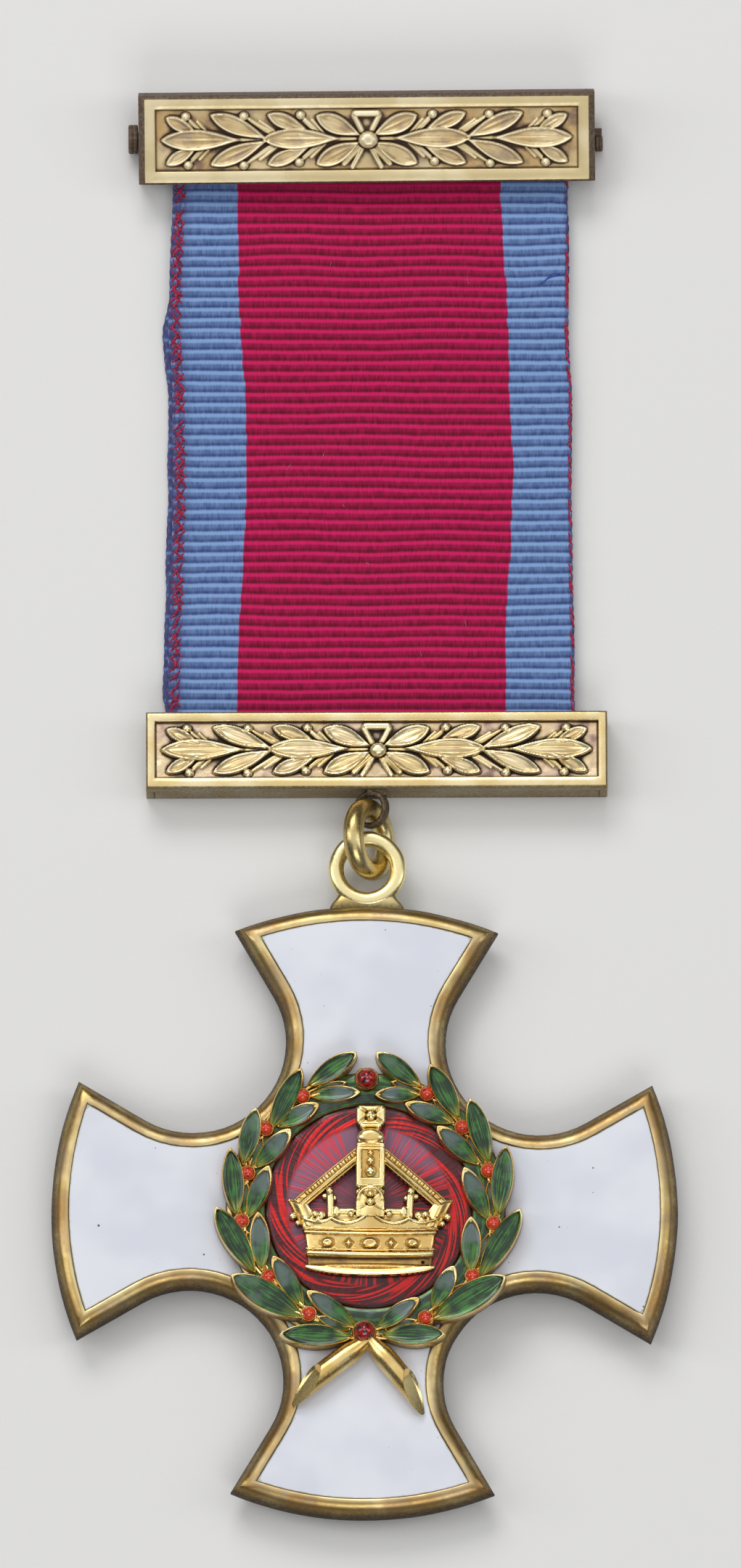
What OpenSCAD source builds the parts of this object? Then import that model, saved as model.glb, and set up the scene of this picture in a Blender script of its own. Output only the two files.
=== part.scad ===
// A breast badge of an order: an enamelled cross hung by a ring from a lower bar,
// on a folded ribbon that hangs from a top bar with a brooch pin behind it.
// The badge lies on its back. +Y runs from the cross to the top bar, +Z faces up.

/* [Whole badge] */
// Length from the foot of the cross to the head of the top bar
total_l = 100; // [99:0.5:102]

/* [Cross] */
// Width of the cross across two opposite arms
cross_w = 42.56; // [42:0.02:43]
// Radius of the arc that ends each arm
arm_end_r = 23.5; // [23:0.1:25]
// Distance of each pocket's centre from both axes of the cross
pocket_at = 11.78; // [11.7:0.02:11.9]
// Radius of the round pocket between two arms
pocket_r = 6.35; // [6.2:0.05:6.4]
// Slope of an arm's side where it flares out to its tip
flare_deg = 30.5; // [28:0.5:32]
// Width of the gilt rim round the enamel
rim_w = 1.18; // [1.1:0.02:1.3]
// Height of the arms' backs above the surface that the badge lies on
arm_back_z = 0.8; // [0.7:0.05:1]
// Thickness of the arms at the rim
arm_t = 2.6; // [2.4:0.1:2.8]
// Turn of the cross about its own centre
cross_turn = -0.4; // [-1:0.1:1]
// Distance of the hanging eye's centre from the cross's centre
eye_at = 23.84; // [23.8:0.02:24]

/* [Medallion] */
// Shift of the medallion to the right of the cross's centre
medal_x = 0.28; // [0:0.02:0.4]
// Radius of the red enamel disc
disc_r = 7; // [6.9:0.05:7]
// Distance of the wreath's outer leaf tips from the centre
wreath_tip_r = 10.45; // [10.3:0.05:10.6]
// Width of an outer leaf
outer_leaf_w = 1.5; // [1.4:0.05:1.6]
// Width of an inner leaf
inner_leaf_w = 1.25; // [1.1:0.05:1.3]
// Radius of a small berry
berry_r = 0.42; // [0.35:0.01:0.45]
// Height of the crown's relief at its middle
crown_t = 1.25; // [1.1:0.05:1.4]

/* [Bars] */
// Width of the top bar with its bevelled flanks
top_bar_w = 31.2; // [31:0.1:31.5]
// Height of the top bar
top_bar_h = 6.1; // [6:0.05:6.3]
// Lean of the top bar, which rests on its brooch fitting
top_bar_tilt = 18.6; // [17:0.1:20]
// Width of the lower bar
low_bar_w = 31.4; // [31.2:0.1:31.6]
// Height of the lower bar
low_bar_h = 5.35; // [5.2:0.05:5.4]
// Depth of both bars, front face to back rim
bar_depth = 3.2; // [3.1:0.05:3.3]
// Depth of the sunk panel behind the leaf relief
panel_sink = 0.35; // [0.3:0.05:0.4]

/* [Ring and ribbon] */
// Radius of the jump ring, centre to the middle of its wire
ring_r = 2.15; // [2.1:0.01:2.2]
// Thickness of the jump ring's wire
ring_wire = 1.4; // [1.3:0.05:1.4]
// Turn of the jump ring away from edge-on
ring_turn = 30; // [28:1:32]
// Width of the ribbon
ribbon_w = 27.6; // [27:0.1:28]
// Thickness of the doubled ribbon
ribbon_t = 1.15; // [1:0.05:1.2]

/* [Hidden] */
$fn = 96;

pale_gold = [0.84, 0.74, 0.50];
warm_gold = [0.82, 0.66, 0.34];
rich_gold = [0.86, 0.68, 0.27];
white_enamel = [0.90, 0.91, 0.94];
red_enamel = [0.62, 0.05, 0.10];
leaf_green = [0.07, 0.33, 0.17];
berry_red = [0.78, 0.14, 0.08];
ribbon_crimson = [0.66, 0.03, 0.20];

// Small clearance between pieces that sit in each other, and the depth of an overlap
gap = 0.04;
lap = 0.2;

cross_y = (cross_w - total_l) / 2;
cross_front_z = arm_back_z + arm_t;
arm_end_shift = arm_end_r - cross_w / 2;
eye_pos = [
    -eye_at * sin(cross_turn), cross_y + eye_at * cos(cross_turn), arm_back_z + arm_t / 2
];
eye_ring_r = 2.12;
eye_wire_r = 0.55;
enamel_sink = 0.65;
back_enamel_sink = 0.45;
hub_r = 9.35;
boss_r = 8.4;
boss_rim = 0.9;

medal_z = cross_front_z + gap;
disc_edge_z = 3.95;
disc_top_z = 4.3;
disc_dome_r = (disc_r * disc_r + pow(disc_top_z - disc_edge_z, 2)) / (2 * (disc_top_z - disc_edge_z));
leaf_low_z = 3.9;
leaf_top_z = 4.9;
leaf_rim = 0.13;
leaf_sink = 0.3;
crown_z = disc_top_z + 0.03;
crown_dome_r = 17;

ring_pos = [0.3, eye_pos[1] + 2, 2.6];
low_bar_x = 0.83;
low_bar_y = ring_pos[1] + 3.48;
lug_neck_w = 1.35;
lug_pos = [0.45, ring_pos[1] + 2.14, 2.4];
lug_r = 1.3;
lug_hole_r = 0.95;
lug_t = 0.7;

top_bar_x = 0.16;
top_bar_turn = 0.55;
top_bar_y = total_l / 2 - top_bar_h * cos(top_bar_tilt) - top_bar_w / 2 * sin(top_bar_turn);
plate_t = 1;
wall_t = 0.6;
rod_r = 0.35;
rod_z = 1.1;
ribbon_x = 0.48;
eyelet_in_r = rod_r + 0.2;
eyelet_out_r = eyelet_in_r + 0.45;

// Half of the leaf spray on both bars, as shares of half the panel's width and height.
// Each row is a leaf: tip across, tip up, base across, base up, width in mm.
SPRAY = [
    [0.262, 0.76, 0.070, 0.22, 1.20],
    [0.262, -0.76, 0.070, -0.15, 1.20],
    [0.505, 0.02, 0.195, 0.02, 1.25],
    [0.490, 0.80, 0.325, 0.33, 0.70],
    [0.490, -0.80, 0.325, -0.33, 0.70],
    [0.750, 0.78, 0.530, 0.12, 1.10],
    [0.750, -0.78, 0.530, -0.08, 1.10],
    [0.972, 0.00, 0.650, 0.00, 1.25],
    [0.945, 0.74, 0.800, 0.38, 0.60],
    [0.945, -0.74, 0.800, -0.38, 0.60],
];
// Berries of the spray: across, up
SPRAY_BERRIES = [
    [0.830, 0.70], [0.830, -0.70], [0.580, 0.76], [0.580, -0.76], [0.312, 0.72], [0.312, -0.72],
];
spray_h = 0.42;

// Angles round the wreath, from its foot, at which each pair of leaves springs
LEAF_AT = [6.5, 31, 60.5, 87, 109.5, 132, 154.4, 176.5];
outer_base_r = 9.2;
inner_base_r = 8.35;
inner_tip_r = 7.6;
berry_ring_r = 8.62;
end_berry_r = 0.55;

// Shapes shared by several pieces

// Point at radius r and angle a
function polar(r, a) = [r * cos(a), r * sin(a)];

// Smooth step from 0 to 1 as t goes from 0 to 1
function smooth(t) = let (s = min(1, max(0, t))) s * s * (3 - 2 * s);

// Pointed leaf outline along X, between two equal arcs, drawn in by inset
module leaf_2d(len, wid, inset = 0) {
    arc_r = (len * len + wid * wid) / (4 * wid);
    intersection_for (side = [-1, 1])
        translate([0, side * (arc_r - wid / 2)]) circle(arc_r - inset);
}

// Puts children, drawn along X about their middle, between a base point and a tip point
module from_to(base, tip) {
    along = tip - base;
    translate((base + tip) / 2) rotate(atan2(along[1], along[0])) children();
}

// Plain bar of round wire along X
module wire_x(len, r) {
    rotate([0, 90, 0]) cylinder(h = len, r = r, center = true);
}

// Round ring of wire in the XY plane
module wire_ring(r, wire_r) {
    rotate_extrude() translate([r, 0]) circle(wire_r);
}

// Bars

// One leaf of the cast spray, with a raised outline round a dished middle
module spray_leaf(len, wid) {
    difference() {
        linear_extrude(spray_h) leaf_2d(len, wid);
        translate([0, 0, spray_h - 0.16]) linear_extrude(lap) leaf_2d(len, wid, 0.15);
    }
    translate([0, 0, spray_h / 2]) cube([len * 0.8, 0.1, spray_h - 0.1], center = true);
}

// One side of the spray, to the right of the bow; half_w and half_h are half the panel
module half_spray(half_w, half_h) {
    for (row = SPRAY)
        let (
            tip = [row[0] * half_w, row[1] * half_h],
            base = [row[2] * half_w, row[3] * half_h]
        )
        from_to(base, tip) spray_leaf(norm(tip - base), row[4]);
    for (row = SPRAY_BERRIES)
        translate([row[0] * half_w, row[1] * half_h, 0.1]) sphere(0.36, $fn = 32);
    // Stalk along the middle, and the tail of the bow
    translate([half_w * 0.42, 0, 0.09]) cube([half_w * 0.84, 0.22, 0.2], center = true);
    from_to([0.2, -0.35], [1.75, -half_h * 0.86]) linear_extrude(spray_h - 0.12) leaf_2d(2.1, 0.6);
    from_to([0.1, -0.35], [0.7, -half_h * 0.94]) linear_extrude(spray_h - 0.12) leaf_2d(1.7, 0.45);
}

// The whole spray, bound by a bow and a round knob
module spray(half_w, half_h) {
    for (side = [0, 1]) mirror([side, 0, 0]) half_spray(half_w, half_h);
    translate([0, 0, 0.05]) cylinder(h = spray_h, r = 0.62);
    translate([0, 0, 0.3]) sphere(0.48);
    translate([0, half_h * 0.62, 0]) difference() {
        cylinder(h = spray_h, r = half_h * 0.36);
        translate([0, 0, -lap]) cylinder(h = 1, r = half_h * 0.36 - 0.3);
    }
}

// A cast bar open at the back: front plate, end walls, one long wall and the ribbon's rod.
// Its lower back edge lies on the X axis. wall_y is where the long wall stands.
// borders are the frame's widths at the sides, top and bottom, bevels the edge chamfers there.
module bar(w, h, wall_y, borders, bevels) {
    panel_w = w - 2 * borders[0];
    panel_h = h - borders[1] - borders[2];
    panel_y = (h - borders[1] + borders[2]) / 2;
    difference() {
        union() {
            translate([-w / 2, 0, bar_depth - plate_t]) cube([w, h, plate_t]);
            for (side = [0, 1]) mirror([side, 0, 0])
                translate([w / 2 - wall_t, 0, 0]) cube([wall_t, h, bar_depth - lap]);
            translate([-w / 2, wall_y, 0]) cube([w, wall_t, bar_depth - lap]);
        }
        translate([-panel_w / 2, panel_y - panel_h / 2, bar_depth - panel_sink])
            cube([panel_w, panel_h, 1]);
        // Bevels of the four front edges
        for (side = [0, 1]) mirror([side, 0, 0])
            translate([w / 2, h / 2, bar_depth]) rotate([0, 45, 0])
                cube([bevels[0] * sqrt(2), h * 2, bevels[0] * sqrt(2)], center = true);
        for (edge = [[h, bevels[1]], [0, bevels[2]]])
            translate([0, edge[0], bar_depth]) rotate([45, 0, 0])
                cube([w * 2, edge[1] * sqrt(2), edge[1] * sqrt(2)], center = true);
    }
    translate([0, h / 2, rod_z]) wire_x(w - wall_t, rod_r);
    translate([0, panel_y, bar_depth - panel_sink - 0.02]) spray(panel_w / 2, panel_h / 2);
}

// Places children drawn in the top bar's own frame, leaning on its brooch fitting
module at_top_bar() {
    translate([top_bar_x, top_bar_y, 0]) rotate(top_bar_turn) rotate([top_bar_tilt, 0, 0])
        children();
}

module top_bar() {
    color(pale_gold) at_top_bar()
        bar(top_bar_w, top_bar_h, top_bar_h - wall_t, [0.98, 0.95, 0.9], [0.3, 0.25, 0.1]);
}

// Hinge disc at the left end, pin wire behind the bar and catch disc at the right end
module brooch_pin() {
    hinge_x = top_bar_w / 2 + gap;
    color(pale_gold) at_top_bar() {
        translate([0, 2.95, -0.46]) wire_x(top_bar_w + 1.1, 0.4);
        translate([-hinge_x - 0.33, 2.9, 0.09]) wire_x(0.66, 1);
        translate([hinge_x + 0.26, 2.3, -0.12]) wire_x(0.52, 0.55);
    }
}

module lower_bar() {
    color(warm_gold) translate([low_bar_x, low_bar_y, 0]) rotate(0.2)
        bar(low_bar_w, low_bar_h, 0, [0.6, 0.65, 0.75], [0.12, 0.12, 0.15]);
    color(warm_gold) difference() {
        union() {
            // Neck from the bar's foot to the lug
            translate([low_bar_x - lug_neck_w / 2, lug_pos[1] + 0.9, 1.6])
                cube([lug_neck_w, low_bar_y - lug_pos[1] - 0.6, 1.2]);
            translate(lug_pos) rotate([0, -ring_turn, 0]) cylinder(h = lug_t, r = lug_r, center = true);
        }
        translate(lug_pos) rotate([0, -ring_turn, 0]) cylinder(h = 4, r = lug_hole_r, center = true);
    }
}

// Ring and ribbon

module jump_ring() {
    color(warm_gold) translate(ring_pos) rotate([0, -ring_turn, 0]) rotate([0, 90, 0])
        wire_ring(ring_r, ring_wire / 2);
}

// Ends of the ribbon's run, at the rods of the two bars: [y, z]
rod_top = [
    top_bar_y + top_bar_h / 2 * cos(top_bar_tilt) - rod_z * sin(top_bar_tilt),
    top_bar_h / 2 * sin(top_bar_tilt) + rod_z * cos(top_bar_tilt)
];
rod_low = [low_bar_y + low_bar_h / 2, rod_z];
ribbon_flat_z = ribbon_t / 2 + 0.06;
ribbon_bend_l = 2;
ribbon_slope = tan(top_bar_tilt);
ribbon_bend_y = rod_top[0]
    - (rod_top[1] - ribbon_flat_z - ribbon_slope * ribbon_bend_l / 2) / ribbon_slope;

// Height of the ribbon's middle at y: a slope out of the top bar, a bend, the flat run
// on the surface, and a rise to the lower bar's rod
function ribbon_z(y) =
    y > ribbon_bend_y ? rod_top[1] + (y - rod_top[0]) * ribbon_slope
    : y > ribbon_bend_y - ribbon_bend_l
        ? ribbon_flat_z + ribbon_slope / (2 * ribbon_bend_l) * pow(y - ribbon_bend_y + ribbon_bend_l, 2)
    : ribbon_flat_z + (rod_z - ribbon_flat_z) * smooth((rod_low[0] + 6 - y) / 5);

// Side view of the ribbon's doubled run between the two rods
module ribbon_run_2d() {
    steps = 40;
    start_y = rod_low[0] + eyelet_in_r + 0.25;
    end_y = rod_top[0] - eyelet_in_r - 0.2;
    run = [for (i = [0:steps]) let (y = start_y + (end_y - start_y) * i / steps) [y, ribbon_z(y)]];
    polygon(concat(
        [for (p = run) [p[0], p[1] + ribbon_t / 2]],
        [for (i = [steps:-1:0]) [run[i][0], run[i][1] - ribbon_t / 2]]
    ));
}

// One doubled wall of ribbon with an eyelet round each rod
module ribbon() {
    color(ribbon_crimson) translate([ribbon_x - ribbon_w / 2, 0, 0]) rotate([90, 0, 90])
        difference() {
            union() {
                linear_extrude(ribbon_w) ribbon_run_2d();
                for (rod = [rod_low, rod_top]) translate(rod) cylinder(h = ribbon_w, r = eyelet_out_r);
            }
            for (rod = [rod_low, rod_top]) translate([rod[0], rod[1], -lap])
                cylinder(h = ribbon_w + 2 * lap, r = eyelet_in_r);
        }
}

// Cross

// Outline of the cross drawn in by inset: four end arcs, cut by four flared pockets
module cross_2d(inset = 0) {
    pocket_wall = pocket_r + inset;
    side_len = 9;
    difference() {
        intersection_for (quarter = [0:3])
            rotate(90 * quarter) translate([-arm_end_shift, 0]) circle(arm_end_r - inset);
        for (quarter = [0:3]) rotate(90 * quarter) translate([pocket_at, pocket_at]) {
            circle(pocket_wall);
            polygon([
                [0, 0],
                polar(pocket_wall, flare_deg - 90),
                polar(pocket_wall, flare_deg - 90) + polar(side_len, flare_deg),
                [30, 30],
                polar(pocket_wall, 180 - flare_deg) + polar(side_len, 90 - flare_deg),
                polar(pocket_wall, 180 - flare_deg),
            ]);
        }
    }
}

// Enamel field of the right-hand arm, between the rim and the hub
module arm_field_2d(inset, inner_r) {
    difference() {
        intersection() {
            cross_2d(inset);
            polygon([[0, 0], [40, -40], [40, 40]]);
        }
        circle(inner_r);
    }
}

// Places children drawn about the cross's own centre
module at_cross() {
    translate([0, cross_y, 0]) rotate(cross_turn) children();
}

module cross_body() {
    step = 0.22;
    color(warm_gold) at_cross() difference() {
        union() {
            // Stepped edge of the rim, front and back
            translate([0, 0, arm_back_z]) linear_extrude(arm_t) cross_2d(step);
            translate([0, 0, arm_back_z + step]) linear_extrude(arm_t - 2 * step) cross_2d();
            cylinder(h = arm_back_z + lap, r = boss_r);
            // Hanging eye on a flared foot
            translate([0, eye_at, eye_pos[2]]) {
                wire_ring(eye_ring_r, eye_wire_r);
                translate([0, -2.1, 0]) linear_extrude(1.2, center = true)
                    difference() {
                        polygon([[-2.3, -1], [2.3, -1], [1.8, 0.1], [-1.8, 0.1]]);
                        translate([0, 2.1]) circle(eye_ring_r);
                    }
            }
        }
        for (quarter = [0:3]) rotate(90 * quarter) {
            translate([0, 0, cross_front_z - enamel_sink]) linear_extrude(1)
                arm_field_2d(rim_w, hub_r);
            translate([0, 0, arm_back_z + back_enamel_sink - 1]) linear_extrude(1)
                arm_field_2d(rim_w, hub_r);
        }
        translate([0, 0, -lap]) cylinder(h = 0.5 + lap, r = boss_r - boss_rim);
    }
}

// White enamel of one arm's front, quarter turns counted from the right-hand arm
module front_enamel(quarter) {
    color(white_enamel) at_cross() rotate(90 * quarter)
        translate([0, 0, cross_front_z - enamel_sink + gap])
            linear_extrude(enamel_sink - 0.15 - gap) arm_field_2d(rim_w + gap, hub_r + gap);
}

// White enamel of one arm's back
module back_enamel(quarter) {
    color(white_enamel) at_cross() rotate(90 * quarter) translate([0, 0, arm_back_z + 0.05])
        linear_extrude(back_enamel_sink - 0.05 - gap) arm_field_2d(rim_w + gap, hub_r + gap);
}

// Medallion

// Places children drawn about the medallion's centre
module at_medal() {
    at_cross() translate([medal_x, 0, 0]) children();
}

module red_disc() {
    color(red_enamel) at_medal() rotate_extrude() intersection() {
        translate([0, disc_top_z - disc_dome_r]) circle(disc_dome_r, $fn = 1200);
        translate([0, medal_z]) square([disc_r, 2]);
    }
}

module back_disc() {
    color(red_enamel) at_cross() translate([0, 0, 0.12])
        cylinder(h = 0.38 - gap, r = boss_r - boss_rim - gap);
}

// Places one outer or inner leaf of the wreath; side is -1 for the left branch.
// The leaf is drawn along X, pointing at its tip.
module at_leaf(side, i, is_outer) {
    spring = LEAF_AT[i];
    reach = LEAF_AT[i + 1] - 0.5;
    base = polar(is_outer ? outer_base_r : inner_base_r, -90 + side * spring);
    tip = polar(is_outer ? wreath_tip_r : inner_tip_r, -90 + side * reach);
    from_to(base, tip) children();
}

// Length of the leaf that at_leaf places
function leaf_len(i, is_outer) =
    norm(
        polar(is_outer ? outer_base_r : inner_base_r, LEAF_AT[i])
        - polar(is_outer ? wreath_tip_r : inner_tip_r, LEAF_AT[i + 1] - 0.5)
    );

// Draws every leaf of the wreath as a solid of its outline drawn in by inset
module all_leaves(inset, z, h) {
    for (side = [-1, 1], i = [0:6], is_outer = [true, false])
        at_leaf(side, i, is_outer) translate([0, 0, z]) linear_extrude(h)
            leaf_2d(leaf_len(i, is_outer), is_outer ? outer_leaf_w : inner_leaf_w, inset);
}

// One of the two crossed stems, a round stick with a slanting cut at its end
module stem(start, end, cut_deg) {
    stick_r = 0.6;
    difference() {
        from_to(start, end) translate([0, 0, medal_z + stick_r + 0.05])
            wire_x(norm(end - start) + 0.6, stick_r);
        translate([end[0], end[1], medal_z]) rotate(cut_deg) translate([0, -3, -1]) cube([3, 6, 4]);
    }
}

module wreath() {
    color(rich_gold) at_medal() difference() {
        union() {
            difference() {
                translate([0, 0, medal_z]) cylinder(h = leaf_low_z + lap - medal_z, r = 9.4);
                cylinder(h = 9, r = disc_r + gap);
            }
            all_leaves(0, leaf_low_z, leaf_top_z - leaf_low_z);
            stem([0.9, -9], [-4.75, -13.75], -145);
            stem([-0.7, -9], [3.55, -14.25], -40);
        }
        all_leaves(leaf_rim, leaf_top_z - leaf_sink, 1);
        translate([0, 0, medal_z - lap]) cylinder(h = 3, r = disc_r + gap);
        berries(gap);
    }
}

module leaf_enamel() {
    color(leaf_green) at_medal()
        all_leaves(leaf_rim + gap, leaf_top_z - leaf_sink + gap, leaf_sink - gap);
}

// Small berries between the leaf pairs, and a larger one at the head and the foot,
// all made larger by grow
module berries(grow = 0) {
    rest_z = leaf_low_z + lap + 0.02;
    for (side = [-1, 1], i = [1:6])
        let (at = polar(berry_ring_r, -90 + side * (LEAF_AT[i] - 5.5)))
        translate([at[0], at[1], rest_z + berry_r]) sphere(berry_r + grow, $fn = 32);
    for (y = [-8.8, 8.75])
        translate([0, y, rest_z + end_berry_r]) sphere(end_berry_r + grow, $fn = 32);
}

module wreath_berries() {
    color(berry_red) at_medal() berries();
}

// Crown

// Height of the crown's domed front above its back at x
function crown_dome(x) = crown_t - crown_dome_r + sqrt(crown_dome_r * crown_dome_r - x * x);

// Round-fronted slab of a flat outline; lift raises it above the main dome
module crown_slab(lift = 0) {
    intersection() {
        linear_extrude(crown_t + 1) children();
        translate([0, 0, crown_t + lift - crown_dome_r]) rotate([90, 0, 0])
            cylinder(h = 30, r = crown_dome_r, center = true);
    }
}

// Half of the crown's outline to the right of its middle
module half_crown_2d() {
    // Sloping arch
    from_to([0.8, 3.35], [4.75, 0.1]) square([5.2, 0.8], center = true);
    // Flared leaf at the arch's foot
    polygon([[4.05, -1.75], [4.75, -1.5], [5.65, 0.4], [4.5, 0.4], [3.85, -0.6], [3.7, -1.75]]);
    // Small upright with a curl at each side
    translate([2.5, -1.3]) square([0.55, 2.1]);
    translate([2.15, 0.15]) square([1.25, 0.45]);
    for (x = [1.65, 3.55]) translate([x, -1.05]) circle(0.55);
    // Band, a little narrower at its foot
    polygon([[0, -1.1], [4.55, -1.5], [4.15, -3.95], [0, -3.95]]);
}

module crown() {
    color(rich_gold) at_medal() translate([0.1, 0, crown_z]) {
        crown_slab() for (side = [0, 1]) mirror([side, 0]) half_crown_2d();
        // Mouldings along the band
        crown_slab(0.14) {
            translate([0, -1.62]) square([9, 0.26], center = true);
            translate([0, -2.2]) square([8.7, 0.2], center = true);
            translate([0, -3.72]) square([8.3, 0.46], center = true);
        }
        // Pearls along each arch
        for (side = [-1, 1], i = [0:7])
            let (x = 1.35 + i * 0.44, y = 3.42 - i * 0.36)
            translate([side * x, y, crown_dome(x) - 0.3]) cylinder(h = 0.42, r = 0.19, $fn = 24);
        // Jewels of the band
        for (x = [-2.9, -1.4, 0, 1.4, 2.9])
            translate([x, -2.9, crown_dome(x) - 0.2]) cylinder(h = 0.42, r = 0.3, $fn = 32);
        // Middle column: plate with pearls, orb and top cross
        translate([-1.02, -0.9, 0]) cube([2.04, 5.1, crown_t + 0.1]);
        for (p = [[3.5, 0.24], [2.9, 0.3], [2.15, 0.38], [-0.02, 0.34]])
            translate([0, p[0], crown_t + 0.1]) sphere(p[1], $fn = 32);
        translate([0, 4.4, crown_t - 0.25]) wire_x(1.75, 0.52);
        translate([-0.55, 4.7, 0]) cube([1.1, 0.9, crown_t - 0.15]);
        translate([-1, 5.4, 0]) cube([2, 1.25, crown_t - 0.1]);
        translate([0, 6, crown_t - 0.1]) sphere(0.3, $fn = 32);
        // Underside of the crown, seen below the band
        translate([0, -3.98, 0]) linear_extrude(0.55) leaf_2d(9.1, 2.2);
    }
}

top_bar();
brooch_pin();
ribbon();
lower_bar();
jump_ring();
cross_body();
front_enamel(0);  // front_enamel_right
front_enamel(1);  // front_enamel_top
front_enamel(2);  // front_enamel_left
front_enamel(3);  // front_enamel_bottom
back_enamel(0);  // back_enamel_right
back_enamel(1);  // back_enamel_top
back_enamel(2);  // back_enamel_left
back_enamel(3);  // back_enamel_bottom
red_disc();
back_disc();
wreath();
leaf_enamel();
wreath_berries();
crown();
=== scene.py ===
"""Looks of an order's breast badge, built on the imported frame.

Sizes are in millimetres. The badge lies on its back, +Y runs from the cross to the top bar.
"""

import logging
from dataclasses import dataclass, field
from enum import Enum
from math import acos, atan2, copysign, cos, hypot, pi, radians, sin, sqrt
from typing import Callable, Sequence

import bmesh
import bpy
import numpy as np
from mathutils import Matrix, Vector


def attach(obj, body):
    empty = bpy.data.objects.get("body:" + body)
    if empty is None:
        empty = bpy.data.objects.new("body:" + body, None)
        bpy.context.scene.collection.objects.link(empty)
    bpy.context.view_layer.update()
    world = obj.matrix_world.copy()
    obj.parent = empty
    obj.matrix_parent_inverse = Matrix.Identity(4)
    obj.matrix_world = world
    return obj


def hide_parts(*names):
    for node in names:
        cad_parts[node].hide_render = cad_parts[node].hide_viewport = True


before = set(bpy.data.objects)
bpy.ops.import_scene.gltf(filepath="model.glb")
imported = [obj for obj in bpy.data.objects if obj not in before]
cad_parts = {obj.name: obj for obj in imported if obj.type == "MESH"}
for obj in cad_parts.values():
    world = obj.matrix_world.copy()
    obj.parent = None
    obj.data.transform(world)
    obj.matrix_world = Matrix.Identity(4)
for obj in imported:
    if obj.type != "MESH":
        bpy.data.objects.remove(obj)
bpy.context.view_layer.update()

LOG = logging.getLogger("badge")
MM = 0.001
# Points nearer than this are one
MELD = 0.0008
Array = np.ndarray
# Red, green and blue as screen values from 0 to 255
Colour = tuple[int, int, int]
Marks = dict[str, Array | float]
Material = bpy.types.Material
Point = tuple[float, float, float]
Row = tuple[float, ...]
Socket = bpy.types.NodeSocket
Spot = tuple[float, float]


class Slot(Enum):
    """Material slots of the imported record."""

    TOP_BAR = "gilt_top_bar"
    LOWER_BAR = "gilt_lower_bar"
    CROSS = "gilt_cross"
    MEDALLION = "gilt_medallion"
    WHITE = "white_enamel"
    RED = "red_enamel"
    GREEN = "green_enamel"
    BERRY = "berry_enamel"
    RIBBON = "ribbon_weave"


class Side(Enum):
    """Left or right of the middle, as the sign of x."""

    LEFT = -1
    RIGHT = 1


def smooth(t: Array) -> Array:
    """Smooth step from 0 to 1 as t goes from 0 to 1."""
    t = np.clip(t, 0, 1)
    return t * t * (3 - 2 * t)


def rounded(inside: Array, radius: float) -> Array:
    """Drop of a rounded edge below its flat top, from the distance in: 0 beyond its radius."""
    short = np.clip(radius - inside, 0, radius)
    return radius - np.sqrt(radius * radius - short * short)


def grain(x: Array, y: Array, cell: float, seed: int) -> Array:
    """Smooth random field over a plane.

    Args:
        x: Places across.
        y: Places up.
        cell: Size of one bump.
        seed: Seed of the field.

    Returns:
        Values from -1 to 1.
    """
    cells = 64
    table = np.random.default_rng(seed).uniform(-1, 1, (cells, cells))
    across, up = x / cell, y / cell
    i, j = np.floor(across).astype(int), np.floor(up).astype(int)
    s, t = smooth(across - i), smooth(up - j)
    low, high = (
        table[row % cells, i % cells] * (1 - s) + table[row % cells, (i + 1) % cells] * s
        for row in (j, j + 1)
    )
    return low * (1 - t) + high * t


def rays(angle: Array) -> Array:
    """Unit directions at angles from +X, one row each."""
    return np.stack([np.cos(angle), np.sin(angle)], -1)


def circle(steps: int) -> Array:
    """Points of a unit circle about the z axis, anticlockwise from +X."""
    return np.column_stack([rays(np.arange(steps) * 2 * pi / steps), np.zeros(steps)])


def heading(a: Spot, b: Spot) -> tuple[float, Array, Array]:
    """Length from a to b, and the unit directions along it and to its left."""
    length = float(np.linalg.norm(np.subtract(b, a)))
    ahead = np.subtract(b, a) / length
    return length, ahead, np.array([-ahead[1], ahead[0]])


def power(values: Array, exponent: float) -> Array:
    """Power of the values' sizes, with their signs kept."""
    return np.sign(values) * np.abs(values) ** exponent


def turned(axis: str, degrees: float) -> Array:
    """Rotation matrix about the x, y or z axis."""
    c, s = cos(radians(degrees)), sin(radians(degrees))
    return {
        "x": np.array([[1, 0, 0], [0, c, -s], [0, s, c]]),
        "y": np.array([[c, 0, s], [0, 1, 0], [-s, 0, c]]),
        "z": np.array([[c, -s, 0], [s, c, 0], [0, 0, 1]]),
    }[axis]


@dataclass(frozen=True)
class Place:
    """A frame of its own within the badge's: turned, then moved."""

    offset: Point
    turn: Array

    def at(self, points: Array | Sequence[float]) -> Array:
        """Points of this frame in the badge's frame."""
        return np.asarray(points, float) @ self.turn.T + np.array(self.offset)

    def within(self, x: float, y: float, z: float, turn: Array = np.eye(3)) -> "Place":
        """A frame that stands at a point of this one, turned further."""
        return Place(tuple(self.at((x, y, z))), self.turn @ turn)


# Flat shapes, as the distance in from their outline, negative outside


def disc(x: Array, y: Array, at: Spot, radius: float) -> Array:
    """Distance in from a circle."""
    return radius - np.hypot(x - at[0], y - at[1])


def oval(x: Array, y: Array, at: Spot, half: Spot, scale: float) -> Array:
    """Share of the way in from an oval of the half sizes given, times scale."""
    return (1 - np.hypot((x - at[0]) / half[0], (y - at[1]) / half[1])) * scale


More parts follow.
